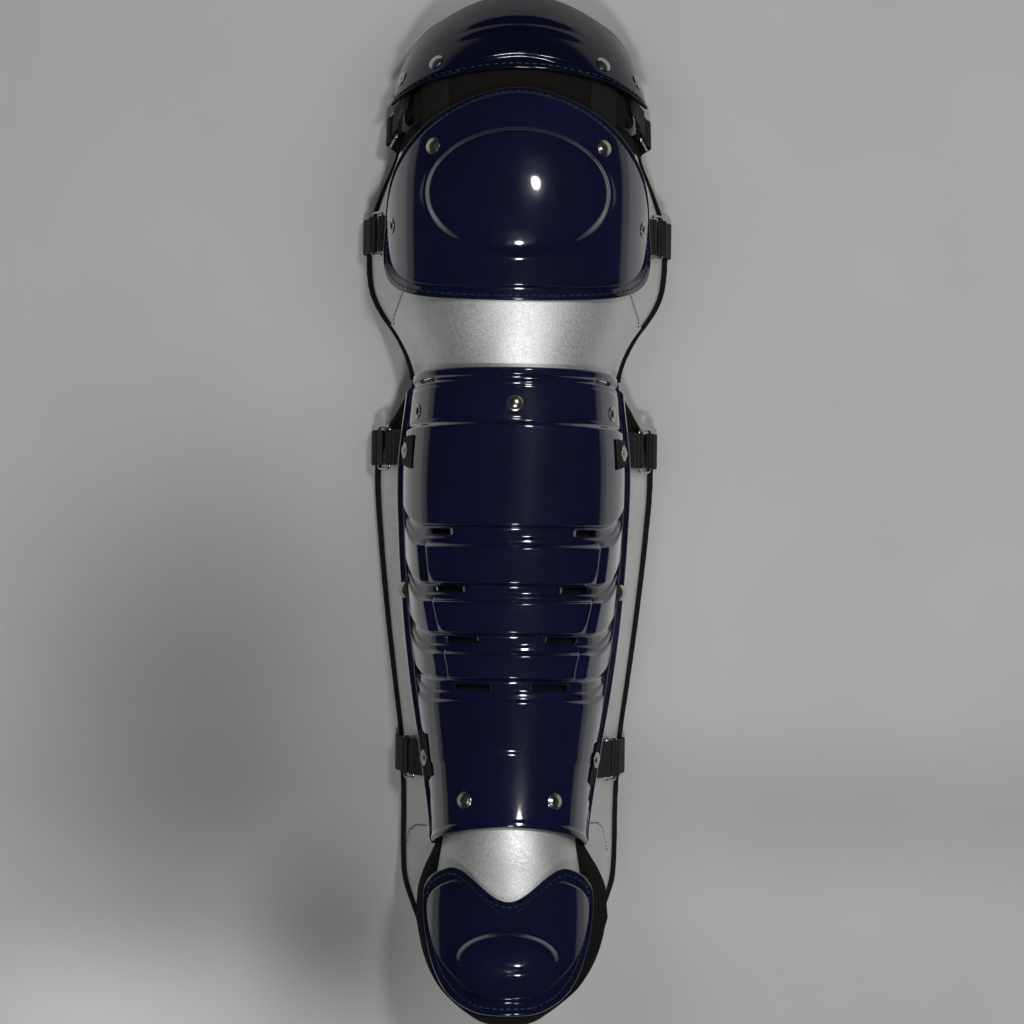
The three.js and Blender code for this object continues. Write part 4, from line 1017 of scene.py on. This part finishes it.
def sheet_grid(reach, low, high, rows, columns):
    side = np.linspace(-1, 1, columns)
    steps = np.linspace(0, 1, rows)
    v = lerp(low(np.abs(side)), high(np.abs(side)), steps[:, None])
    return v, side * reach * Section(v).body, steps, side


def sheet(name, v, p, low, high, material, ends):
    """A thin slab between two lifts, and its outer grid."""
    cut = rim(ends, SHEET_RIM)
    outer = form(v, p, high - cut)
    return slab(name, outer, form(v, p, low + cut), material, uv=np.stack([p, v], -1)), outer


def laid(obj, slot, node):
    """Places a thin sheet of cloth."""
    place(obj, slot, node)


BAND_SLANT = 31
BAND_PAST_BODY = 36
BAND_TO_EDGE = 4


def band_top(side):
    """The band ends under the knee cap, and slants down to its outer corners."""
    return KNEE_LOW + TUCK - BAND_SLANT * smoothstep(side, 0.5, 1.05)


def band_reach(v):
    return np.minimum(Section(v).body + BAND_PAST_BODY, wing_edge(v, KNEE_EDGE) - BAND_TO_EDGE)


# Silver band between the knee cap and the shin shell
v, p, steps, side = sheet_grid(1.0, even(SHIN_TOP - TUCK), band_top, 70, 141)
p = side * band_reach(v)
ends = end_distance(steps, v[-1] - v[0], side, np.abs(p[:, -1:]))
hump = np.sin(math.pi * steps)[:, None]
swell = hump * (0.9 * (1 - side**4) + 0.18 * noise(p, v, 21, 40))
knee_band, outer = sheet("knee_band_look", v, p, PANEL_LOW, PANEL_HIGH + swell, SILVER, ends)
laid(knee_band, "silver_vinyl", "knee_band")


# Seams and darts
def seam(name, path, lift, pitch, radius):
    """A row of short threads along (station, arc place) points."""
    path = np.array(path, float)
    run = run_along(path)
    segments = []
    for start in np.arange(0, run[-1] - pitch, pitch):
        ends = (start, start + 0.6 * pitch)
        segments.append([tuple(np.interp(at, run, path[:, k]) for k in range(2)) + (lift,) for at in ends])
    place(thread_mesh(name, segments, radius, DARK_THREAD), "black_fabric")


for side_name, sign in SIDES:
    across = np.linspace(0.5, 0.97, 40)
    station = band_top(across) - 2.0
    row = np.stack([station, sign * across * band_reach(station)], -1)
    seam(f"knee_seam_{side_name}", row, PANEL_HIGH + 0.25, 2.6, 0.4)

# Stitched darts at the lower ends of the shin pad's wings
LEFT_DART = [(-2, -130), (0, -123), (6, -119), (8, -104), (6, -80)]
RIGHT_DART = [(-4, 115), (1, 111), (8, 104), (10, 93), (8, 73)]
seam("shin_dart_left", LEFT_DART, 0.9, 2.4, 0.38)
seam("shin_dart_right", RIGHT_DART, 0.9, 2.4, 0.38)


# Silver instep panel
def instep_low(side):
    return TOE_TOP - TUCK + 0.75 * TOE_EAR * smoothstep(side, 0, 0.9)


v, p, steps, side = sheet_grid(0.88, instep_low, lambda side: TUCK - 0.4 * TUCK * side, 60, 101)
ends = end_distance(steps, v[-1] - v[0], side, Section(v).body)
swell = (0.5 + 0.15 * noise(p, v, 33, 24)) * np.sin(math.pi * steps)[:, None]
instep, outer = sheet("instep_panel_look", v, p, PANEL_LOW, PANEL_HIGH + swell, SILVER, ends)
laid(instep, "silver_vinyl", "instep_panel")

# Dark mesh between the thigh cap and the knee cap, with its two webs
v, p, steps, side = sheet_grid(0.8, even(KNEE_TOP - TUCK), even(THIGH_LOW + TUCK), 40, 121)
ends = end_distance(steps, v[-1] - v[0], side, Section(v).body)
hinge, hinge_outer = sheet("hinge_panel_look", v, p, PANEL_LOW, PANEL_HIGH, MESH, ends)

HINGE_WEB_AT = 0.7 * HALF_WIDTH
HINGE_WEB_WIDTH = 22
HINGE_WEB_REACH = 16
HINGE_WEB_RUN = HINGE_LENGTH + 2.5 * HINGE_WEB_REACH
for side_name, sign in SIDES:
    steps = np.linspace(0, 1, 50)
    side = np.linspace(-1, 1, 24)
    v = np.repeat((KNEE_TOP - 1.5 * HINGE_WEB_REACH + HINGE_WEB_RUN * steps)[:, None], len(side), 1)
    p = sign * HINGE_WEB_AT + np.repeat(0.5 * HINGE_WEB_WIDTH * side[None, :], len(steps), 0)
    ends = end_distance(steps, HINGE_WEB_RUN, side, 0.5 * HINGE_WEB_WIDTH)
    web, _ = sheet(f"hinge_web_{side_name}_look", v, p, WEB_LOW, WEB_HIGH, COARSE, ends)
    place(web, "black_webbing", f"hinge_web_{side_name}")

# Thigh pad
THIGH_PAD_TOPS = [0.97, 0.94, 0.88, 0.77, 0.6, 0.36]
THIGH_PAD_LOW = THIGH_LOW - 5
side = np.linspace(-1, 1, 111)
tall = THIGH_LOW + np.interp(np.abs(side) * 5, range(6), THIGH_PAD_TOPS) * THIGH_CAP_LENGTH - THIGH_PAD_LOW
steps = np.concatenate([[0, 0.004, 0.012, 0.025], np.linspace(0.04, 0.96, 40), [0.975, 0.988, 0.996, 1]])
v = THIGH_PAD_LOW + tall * steps[:, None]
p = side * (Section(v).body + 2)
distance = end_distance(steps, tall, side, 90)
quilt = channels(p + 60, 40) * smoothstep(distance, 2, 9)
thigh_pad = pad_skin("thigh_pad_look", v, p, distance, 0, BLACK, quilt)
place_pad(thigh_pad, "black_fabric", "thigh_pad")
laid(hinge, "black_fabric", "hinge_panel")

# Toe pad, a rim of black fabric round the toe cap
TOE_PAD_HALF = 0.78 * HALF_WIDTH
TOE_PAD_MIDDLE = 1.16 * TOE_TOP
TOE_PAD_RIM = 2.4
COLLAR_RIGHT = 17
COLLAR_LEFT = 12


def toe_pad_outline(turn):
    """Round below, a little outside the toe cap, and square above."""
    c = np.cos(turn)
    s = np.sin(turn)
    lower = toe_edge(turn, 0.8)
    lower[..., 1] *= lerp(1, TOE_PAD_HALF / (TOE_HALF + 1.2), np.abs(c))
    square = np.maximum(np.abs(c), np.abs(s))
    up = TOE_PAD_MIDDLE + (TOE_PAD_HIGH - TOE_PAD_MIDDLE) * s / square
    upper = np.stack([up, TOE_PAD_HALF * c / square], -1)
    return lerp(upper, lower, smoothstep(-s, -0.35, 0.35)[..., None])


def toe_collar(v, p):
    """How far the pad stands up beside the toe cap, less towards its tip and its top."""
    half_turn = toe_edge(np.linspace(-math.pi / 2, 0, 400))
    beside = np.abs(p) - np.interp(v, half_turn[:, 0], half_turn[:, 1])
    high = np.where(p > 0, COLLAR_RIGHT, COLLAR_LEFT) * smoothstep(beside, -2.5, 8)
    return high * smoothstep(v, 9, TOE_TOP + 14) * smoothstep(v, TOE_TIP, TOE_TIP + 26)


def toe_pad():
    outline = toe_pad_outline(even_turns(toe_pad_outline, 200))
    centre = np.array([TOE_PAD_MIDDLE, 0.0])
    reach = np.linalg.norm(outline - centre, axis=1)
    shares = [u + 0 * reach for u in np.linspace(0, 0.9, 26)]
    shares += [1 - 0.9 * d / reach for d in (3.4, 2.4, 1.5, 0.8, 0.3, 0)]
    grid = np.stack([centre + (outline - centre) * share[:, None] for share in shares])
    v, p = grid[..., 0], grid[..., 1]
    distance = np.linalg.norm(outline - grid, axis=-1)
    cut = rim(distance, TOE_PAD_RIM)
    collar = toe_collar(v, p)
    quilt = channels(v, 36) * smoothstep(distance, 3, 9)
    outer = form(v, p, 0.2 + collar - cut)
    inner = form(v, p, collar - pad_thickness(v, p) + cut + quilt)
    uv = np.stack([p, v], -1)
    return slab("toe_pad_look", outer, inner, BLACK, wrap=True, flip=True, uv=uv, weld=True)


place_pad(toe_pad(), "black_fabric", "toe_pad")

# Rivets
RIVET_PROFILE = [(0.01, 1.9), (0.9, 1.86), (1.9, 1.72), (2.9, 1.42), (3.7, 1.0), (4.3, 0.62), (4.9, 0.52),
                 (5.3, 0.38), (5.45, 0.15), (5.3, 0.0), (4.0, 0.0)]
SMALL_GAP = 0.35
# Name, station, arc place and height over the shell's lift
RIVETS = [
    ("thigh_rivet_front", THIGH_LOW + 0.2 * THIGH_CAP_LENGTH, 0.6125 * HALF_WIDTH, 3.1),
    ("thigh_rivet_side", THIGH_LOW + 0.35 * THIGH_CAP_LENGTH, HALF_WIDTH, 3.0),
    ("knee_rivet_upper", KNEE_TOP - 0.268 * KNEE_CAP_LENGTH, 0.64 * HALF_WIDTH, 2.9),
    ("knee_rivet_side", KNEE_LOW + 0.343 * KNEE_CAP_LENGTH, 1.13 * HALF_WIDTH, 2.8),
]
# Name, share of the shin shell's length, share of its half width and height over the shell
SHIN_RIVETS = [
    ("shin_rivet_top", 0.913, 0.735, 0),
    ("shin_rivet_upper_tab", 0.815, 0.8, 1.3),
    ("shin_rivet_middle", 0.45, 0.95, 0.8),
    ("shin_rivet_lower_tab", 0.175, 0.83, 1.3),
    ("shin_rivet_front", 0.065, 0.38, 0),
]


def rivet(node, v, p, lift, size=1.0):
    up = outward(np.asarray(float(v)), np.asarray(float(p)))
    at = form(float(v), float(p), lift + 0.1)
    aside = np.cross(up, [0, 1, 0])
    aside /= np.linalg.norm(aside)
    angle = round_angles(32)
    spokes = np.outer(np.cos(angle), aside) + np.outer(np.sin(angle), np.cross(up, aside))
    rings = [at + size * (spokes * reach + up * height) for reach, height in RIVET_PROFILE]
    place(tube(node + "_look", rings, NICKEL), "nickel", node)


def shin_seat(share, side):
    """Station, arc place and lift of a place on the shin shell's outer face."""
    edge = Section(share * SHIN_LENGTH).edge
    v = warped(np.asarray(share, float), np.asarray(side, float))
    rise = shin_relief(np.asarray(share, float), np.abs(side) * edge, edge)
    return float(v), float(side * Section(v).edge), float(SHELL_LIFT + rise)


rivet("shin_rivet_crest", *shin_seat(0.921, 0.0), 1.03)
for side_name, sign in SIDES:
    for name, v, p, rise in RIVETS:
        rivet(f"{name}_{side_name}", v, sign * p, SHELL_LIFT + rise)
    for name, share, side, seat in SHIN_RIVETS:
        v, p, lift = shin_seat(share, sign * side)
        rivet(f"{name}_{side_name}", v, p, lift + seat)

# Webbing that laps over the shell's sides under the tab rivets:
# name, share of the length, share of the half width, width, and reach inwards and outwards
LAPS = [
    ("upper_shin_lap_left", 0.815, -0.8, 25, 9.5, 8),
    ("upper_shin_lap_right", 0.815, 0.8, 23, 9.5, 8),
    ("lower_shin_lap_left", 0.175, -0.83, 23, 7, 9),
    ("lower_shin_lap_right", 0.165, 0.83, 22, 3, 8),
]
LAP_LOW = 0.2
LAP_HIGH = 1.5
for name, share, side, width, inner_reach, outer_reach in LAPS:
    edge = float(Section(share * SHIN_LENGTH).edge)
    steps = np.linspace(-0.5, 0.5, 26)
    across = np.linspace(-inner_reach, outer_reach, 22)
    shares = share + np.repeat(steps[:, None], len(across), 1) * width / SHIN_LENGTH
    edges = Section(shares * SHIN_LENGTH).edge
    sides = (abs(side) * edge + across) / edge + 0 * shares
    v = warped(shares, sides)
    p = math.copysign(1, side) * sides * Section(v).edge
    rise = shin_relief(shares, sides * edges, edges)
    base = SHELL_LIFT + np.maximum(rise, rise.mean())
    to_side = np.minimum(across + inner_reach, outer_reach - across)
    ends = np.minimum((0.5 - np.abs(steps))[:, None] * width, to_side)
    cut = rim(ends, 0.6)
    ribs = 0.25 * np.cos(2 * math.pi * across / 2.4)
    top = form(v, p, base + LAP_HIGH + ribs - cut)
    bottom = form(v, p, base + LAP_LOW + cut)
    place(slab(name, top, bottom, WEBBING, uv=np.stack([p, v], -1)), "black_webbing")

# Tabs, wire loops and straps
WEB_WIDTH = 24
WEB_THICKNESS = 1.4
WIRE_RADIUS = 1.25
WIRE_LOOK = 1.0
LOOP_WIDTH = 29
LOOP_HEIGHT = 12
LOOP_CORNER = 2.5
FOLD_LENGTH = 9
FOLD_STEPS = 18
STRAP_BEND = 4
# Distance in from a ribbon's edge and half its thickness there
RIBBON_EDGE = [(0, 0.35), (0.25, 0.6), (1.0, 0.7)]
STRAPS = [
    {"name": "thigh", "v": THIGH_LOW + 0.194 * THIGH_CAP_LENGTH, "lean": -36, "hold": 12, "hang": 14,
     "stand": 3, "lift": 1.05, "flare": -0.12},
    {"name": "knee", "v": KNEE_LOW + 0.314 * KNEE_CAP_LENGTH, "lean": 0, "hold": 20, "hang": 17,
     "stand": 5, "lift": 1.9, "flare": 0},
    {"name": "upper_shin", "v": 0.826 * SHIN_LENGTH, "lean": 0, "hold": 20, "hang": 15,
     "stand": 5, "lift": 1.9, "flare": -0.06},
    {"name": "lower_shin", "v": 0.151 * SHIN_LENGTH, "lean": 0, "hold": 13, "hang": 17,
     "stand": 5, "lift": 2, "flare": 0.11},
]


def strap_plane(strap):
    """The plane a strap runs in, as a matrix from its own places to the model's."""
    lean = math.radians(strap["lean"])
    y, z = (float(value) for value in crest(strap["v"]))
    if strap["lean"] == 0:
        y, z = float(form(strap["v"], Section(strap["v"]).edge)[1]), 0.0
    return np.array([
        (1, 0, 0, 0),
        (0, -math.sin(lean), -math.cos(lean), y),
        (0, math.cos(lean), -math.sin(lean), z),
        (0, 0, 0, 1),
    ])


def in_plane(strap, matrix, p, lift):
    """Where a place of the form meets the strap's plane, found by moving its station."""
    inverse = np.linalg.inv(matrix)
    v = strap["v"]
    for _ in range(8):
        local = inverse @ np.append(form(float(v), float(p), lift), 1)
        v += local[2]
    return local[:2]


def to_model(points, matrix):
    return points @ matrix[:3, :3].T + matrix[:3, 3]


def unit(vector):
    return vector / np.linalg.norm(vector)


def loop_bars(strap, matrix, side):
    """The places of a wire loop's upper and lower bar."""
    out = float(Section(strap["v"]).edge) + strap["hang"]
    upper = in_plane(strap, matrix, side * out, strap["stand"])
    further = in_plane(strap, matrix, side * (out + 4), strap["stand"] + 0.8)
    return upper, upper + unit(further - upper) * LOOP_HEIGHT


def fold_path(start, wire, turn_sign):
    """The way of a web from its start round a wire and back."""
    radius = WIRE_RADIUS + 0.6 + WEB_THICKNESS / 2
    towards = wire - start
    heading = math.atan2(towards[1], towards[0])
    tangent = heading - turn_sign * math.asin(min(radius / np.linalg.norm(towards), 0.99))
    first = tangent + turn_sign * math.pi / 2
    sweep = math.pi + math.asin(0.35)
    path = []
    for k in range(FOLD_STEPS + 1):
        angle = first + math.pi + turn_sign * sweep * k / FOLD_STEPS
        path.append(wire + radius * np.array([math.cos(angle), math.sin(angle)]))
    back = unit(start - path[0])
    normal = -turn_sign * np.array([-back[1], back[0]])
    path.append(path[0] + back * FOLD_LENGTH - normal * (WEB_THICKNESS + SMALL_GAP))
    return path


def smooth_path(path, step):
    """Short even steps through the points, their corners rounded a little."""
    out = [path[0]]
    for a, b in zip(path[:-1], path[1:]):
        count = max(1, int(np.linalg.norm(b - a) / step))
        out.extend(a + (b - a) * (k + 1) / count for k in range(count))
    out = np.array(out)
    for _ in range(2):
        out[1:-1] = 0.25 * out[:-2] + 0.5 * out[1:-1] + 0.25 * out[2:]
    return out


def ribbon(name, path, matrix, flare=0.0):
    """Webbing along a path in the strap's plane; a flare slants its start."""
    path = smooth_path(path, 1.6)
    tangent = np.gradient(path, axis=0)
    tangent /= np.linalg.norm(tangent, axis=1, keepdims=True)
    normal = np.stack([-tangent[:, 1], tangent[:, 0]], -1)
    run = run_along(path)
    half = WEB_WIDTH / 2
    flat = [(x, -WEB_THICKNESS / 2) for x in np.linspace(3 - half, half - 3, 8)]
    lower = [(inset - half, -up) for inset, up in RIBBON_EDGE] + flat
    lower += [(half - inset, -up) for inset, up in reversed(RIBBON_EDGE)]
    slant = flare * (1 - smoothstep(run, 0.3 * run[-1], 0.8 * run[-1]))
    rings = []
    uvs = []
    for across, up in lower + [(-across, -up) for across, up in lower]:
        middle = path + normal * up
        width = np.full(len(path), across)
        rings.append(to_model(np.stack([middle[:, 0] - across * slant, middle[:, 1], width], -1), matrix))
        uvs.append(np.stack([run, width], -1))
    return tube(name, np.stack(rings, 1), WEBBING, uv=np.stack(uvs, 1))


def tab(strap, side, name):
    """A short web from the shell's side round the loop's upper bar."""
    matrix = strap_plane(strap)
    edge = float(Section(strap["v"]).edge)
    middle = strap["lift"] + WEB_THICKNESS / 2
    hold = strap["hold"]
    places = [(-hold, 0), (-0.66 * hold, 0), (-0.33 * hold, 0), (0, 0.3), (5, 1.5)]
    path = [in_plane(strap, matrix, side * (edge + out), middle + rise) for out, rise in places]
    upper, _ = loop_bars(strap, matrix, side)
    return ribbon(name, path + fold_path(path[-1], upper, side), matrix, side * strap["flare"])


def wire_loop(strap, side, name):
    """A rectangle of bent wire between a tab and a strap."""
    matrix = strap_plane(strap)
    upper, lower = loop_bars(strap, matrix, side)
    down = unit(lower - upper)
    low = LOOP_HEIGHT - LOOP_CORNER
    end = LOOP_WIDTH / 2 - LOOP_CORNER
    corners = [(low, end, 0), (LOOP_CORNER, end, 90), (LOOP_CORNER, -end, 180), (low, -end, 270)]
    path = []
    for x, z, first in corners:
        for k in range(7):
            angle = math.radians(first + 15 * k)
            path.append(np.array([x + LOOP_CORNER * math.cos(angle), z + LOOP_CORNER * math.sin(angle)]))
    full = []
    for a, b in zip(path, path[1:] + path[:1]):
        count = max(1, int(np.linalg.norm(b - a) / 2.5))
        full.extend(a + (b - a) * k / count for k in range(count))
    full = np.array(full)
    points = np.column_stack([upper + full[:, :1] * down, full[:, 1]])
    tangent = np.roll(points, -1, 0) - np.roll(points, 1, 0)
    tangent /= np.linalg.norm(tangent, axis=1, keepdims=True)
    flat = np.array([-down[1], down[0], 0.0])
    aside = np.cross(flat, tangent)
    rings = []
    for angle in round_angles(12):
        ring = points + WIRE_LOOK * (aside * math.cos(angle) + flat * math.sin(angle))
        rings.append(to_model(ring, matrix))
    return tube(name, np.stack(rings, 1), NICKEL, closed=True)


def strap_side(strap, matrix):
    """How far out a strap runs to clear the wing's edge over its whole width."""
    table = KNEE_EDGE if strap["name"] == "knee" else SHIN_EDGE
    inverse = np.linalg.inv(matrix)
    reach = 0.0
    for z in (-WEB_WIDTH / 2, 0, WEB_WIDTH / 2):
        v = strap["v"] - z
        point = form(v, float(wing_edge(np.asarray(v), table)) + 6, 1.0)
        reach = max(reach, (inverse @ np.append(point, 1))[0])
    return reach + WEB_THICKNESS / 2 + 3 * SMALL_GAP


def strap_band(strap, name):
    """A closed strap behind the leg, from one loop's lower bar to the other's."""
    matrix = strap_plane(strap)
    _, lower = loop_bars(strap, matrix, 1)
    if strap["lean"] == 0:
        side = max(lower[0] + 2, strap_side(strap, matrix))
        bends = [(0, 2), (0.15, 0.7), (0.7, 0.1), (1.5, 0)]
        half = [(side - STRAP_BEND * x, WEB_THICKNESS / 2 + STRAP_BEND * up) for x, up in bends]
    else:
        half = [(lower[0] - 4, lower[1] - 10), (lower[0] - 12, lower[1] - 15)]
    half = [np.array(point, float) for point in half]
    right = list(reversed(fold_path(half[0], lower, -1))) + half
    left = [np.array([-point[0], point[1]]) for point in reversed(right)]
    return ribbon(name, right + left, matrix)


for strap in STRAPS:
    for side_name, sign in SIDES:
        tab_node = f"{strap['name']}_tab_{side_name}"
        loop_node = f"{strap['name']}_loop_{side_name}"
        place(tab(strap, sign, tab_node + "_look"), "black_webbing", tab_node)
        place(wire_loop(strap, sign, loop_node + "_look"), "nickel", loop_node)
    node = f"{strap['name']}_strap"
    place(strap_band(strap, node + "_look"), "black_webbing", node)

# Closed pieces whose faces came out facing inwards are turned
for obj in list(bpy.context.scene.objects):
    if obj.type == "MESH" and (obj.name.endswith("_look") or "_lap_" in obj.name):
        bm = bmesh.new()
        bm.from_mesh(obj.data)
        if bm.calc_volume(signed=True) < 0:
            bmesh.ops.reverse_faces(bm, faces=bm.faces)
            bm.to_mesh(obj.data)
        bm.free()

# Floor, its colour darkened and lightened by soft patches of painted shade and painted light: place, reach
# and share of light lost or gained
FLOOR_HALF = 6.0
FLOOR_SHADES = [
    (-0.21, -0.15, 0.22, 0.29, -0.5),
    (-0.12, -0.3, 0.09, 0.1, -0.38),
    (-0.28, -0.37, 0.23, 0.1, 0.42),
    (0.27, -0.21, 0.83, 0.08, -0.15),
]


def shade_patch(look, centre, reach, share):
    """A value that runs smoothly from share at the centre to nothing at the reach: painted shade in the
    floor's colour where share is below 0, painted light where it is above.
    """
    shift = look.vector("SUBTRACT", {0: look.where, 1: centre})
    scale = look.vector("MULTIPLY", {0: shift, 1: (1 / reach[0], 1 / reach[1], 0)})
    return look.ramp(look.vector("LENGTH", {0: scale}, "Value"), 0, 1, share, 0, "SMOOTHSTEP")


def floor_look():
    look = Look("floor_look")
    grain = look.noise(500, 2)
    mix = look.combine("ADD", look.noise(9, 3), look.combine("MULTIPLY", grain, 0.5))
    paper = look.mixed(look.ramp(mix, 0.5, 1.0), (0.485, 0.481, 0.473), (0.515, 0.511, 0.503))
    # Painted shade and painted light: the soft patches scale the paper's colour
    shading = 1.0
    for x, y, across, up, share in FLOOR_SHADES:
        shading = look.combine("ADD", shade_patch(look, (x, y, 0), (across, up), share), shading)
    return look.finish({
        "Base Color": look.vector("SCALE", {0: paper, "Scale": shading}),
        "Roughness": 0.95,
        "Specular IOR Level": 0.1,
        "Normal": look.bump(grain, 0.1, 0.0003),
    })


corners = [(x * FLOOR_HALF, y * FLOOR_HALF, 0) for x, y in ((-1, -1), (1, -1), (1, 1), (-1, 1))]
floor_mesh = bpy.data.meshes.new("floor")
floor_mesh.from_pydata(corners, [], [(0, 1, 2, 3)])
floor_mesh.materials.append(floor_look())
floor = bpy.data.objects.new("floor", floor_mesh)
bpy.context.scene.collection.objects.link(floor)

# Camera, looking straight down
CAMERA_AT = (-0.001, -0.00768, 2.0)
LENS = 101.28
SENSOR_WIDTH = 36
ROLL = 0.8
camera_data = bpy.data.cameras.new("camera")
camera_data.lens = LENS
camera_data.sensor_width = SENSOR_WIDTH
camera_data.clip_start = 0.1
camera_data.clip_end = 20
camera = bpy.data.objects.new("camera", camera_data)
camera.location = CAMERA_AT
camera.rotation_euler = (0, 0, math.radians(ROLL))
bpy.context.scene.collection.objects.link(camera)
bpy.context.scene.camera = camera

# Lamps: name, place, target, size, power, and whether reflections show them
LAMPS = [
    ("key_top", (0.6, 0.60, 2.6), (0, 0, 0), 0.3, 19, True),
    ("key_low", (0.08, -1.1, 2.5), (0, 0, 0), 0.3, 21, True),
    ("fill", (0.9, 0.25, 1.3), (0, 0, 0), 0.9, 4.3, False),
    ("far_fill", (-1.0, 0.5, 1.7), (-0.1, 0.1, 0), 1.0, 4.5, False),
]
# Square lamps at floor level: name, height, size and power
GLOWS = [
    ("floor_glow_3", 0.003, 5.0, 20),
    ("floor_glow_5", 0.005, 0.9, 1.1),
]
WORLD_COLOUR = (0.02, 0.021, 0.025, 1)


def area_light(name, location, target, size, energy, shape="DISK"):
    data = bpy.data.lights.new(name, "AREA")
    data.shape = shape
    data.size = size
    data.energy = energy
    light = bpy.data.objects.new(name, data)
    light.location = location
    direction = Vector(target) - Vector(location)
    light.rotation_euler = direction.to_track_quat("-Z", "Y").to_euler()
    bpy.context.scene.collection.objects.link(light)
    return light


for *lamp, glossy in LAMPS:
    area_light(*lamp).visible_glossy = glossy

# Light thrown up by the floor, seen only in the glossy sides
shells = bpy.data.collections.new("shells")
for piece in ("shin_shell_look", "knee_cap_look", "toe_cap_look"):
    shells.objects.link(bpy.data.objects[piece])
for name, height, size, energy in GLOWS:
    glow = area_light(name, (0, 0, height), (0, 0, 1), size, energy, "SQUARE")
    glow.visible_camera = False
    glow.visible_diffuse = False
    glow.light_linking.receiver_collection = shells

world = bpy.data.worlds.new("world")
world.use_nodes = True
world.node_tree.nodes["Background"].inputs["Color"].default_value = WORLD_COLOUR
world.node_tree.nodes["Background"].inputs["Strength"].default_value = 1.0
bpy.context.scene.world = world
bpy.context.scene.view_settings.view_transform = "Standard"
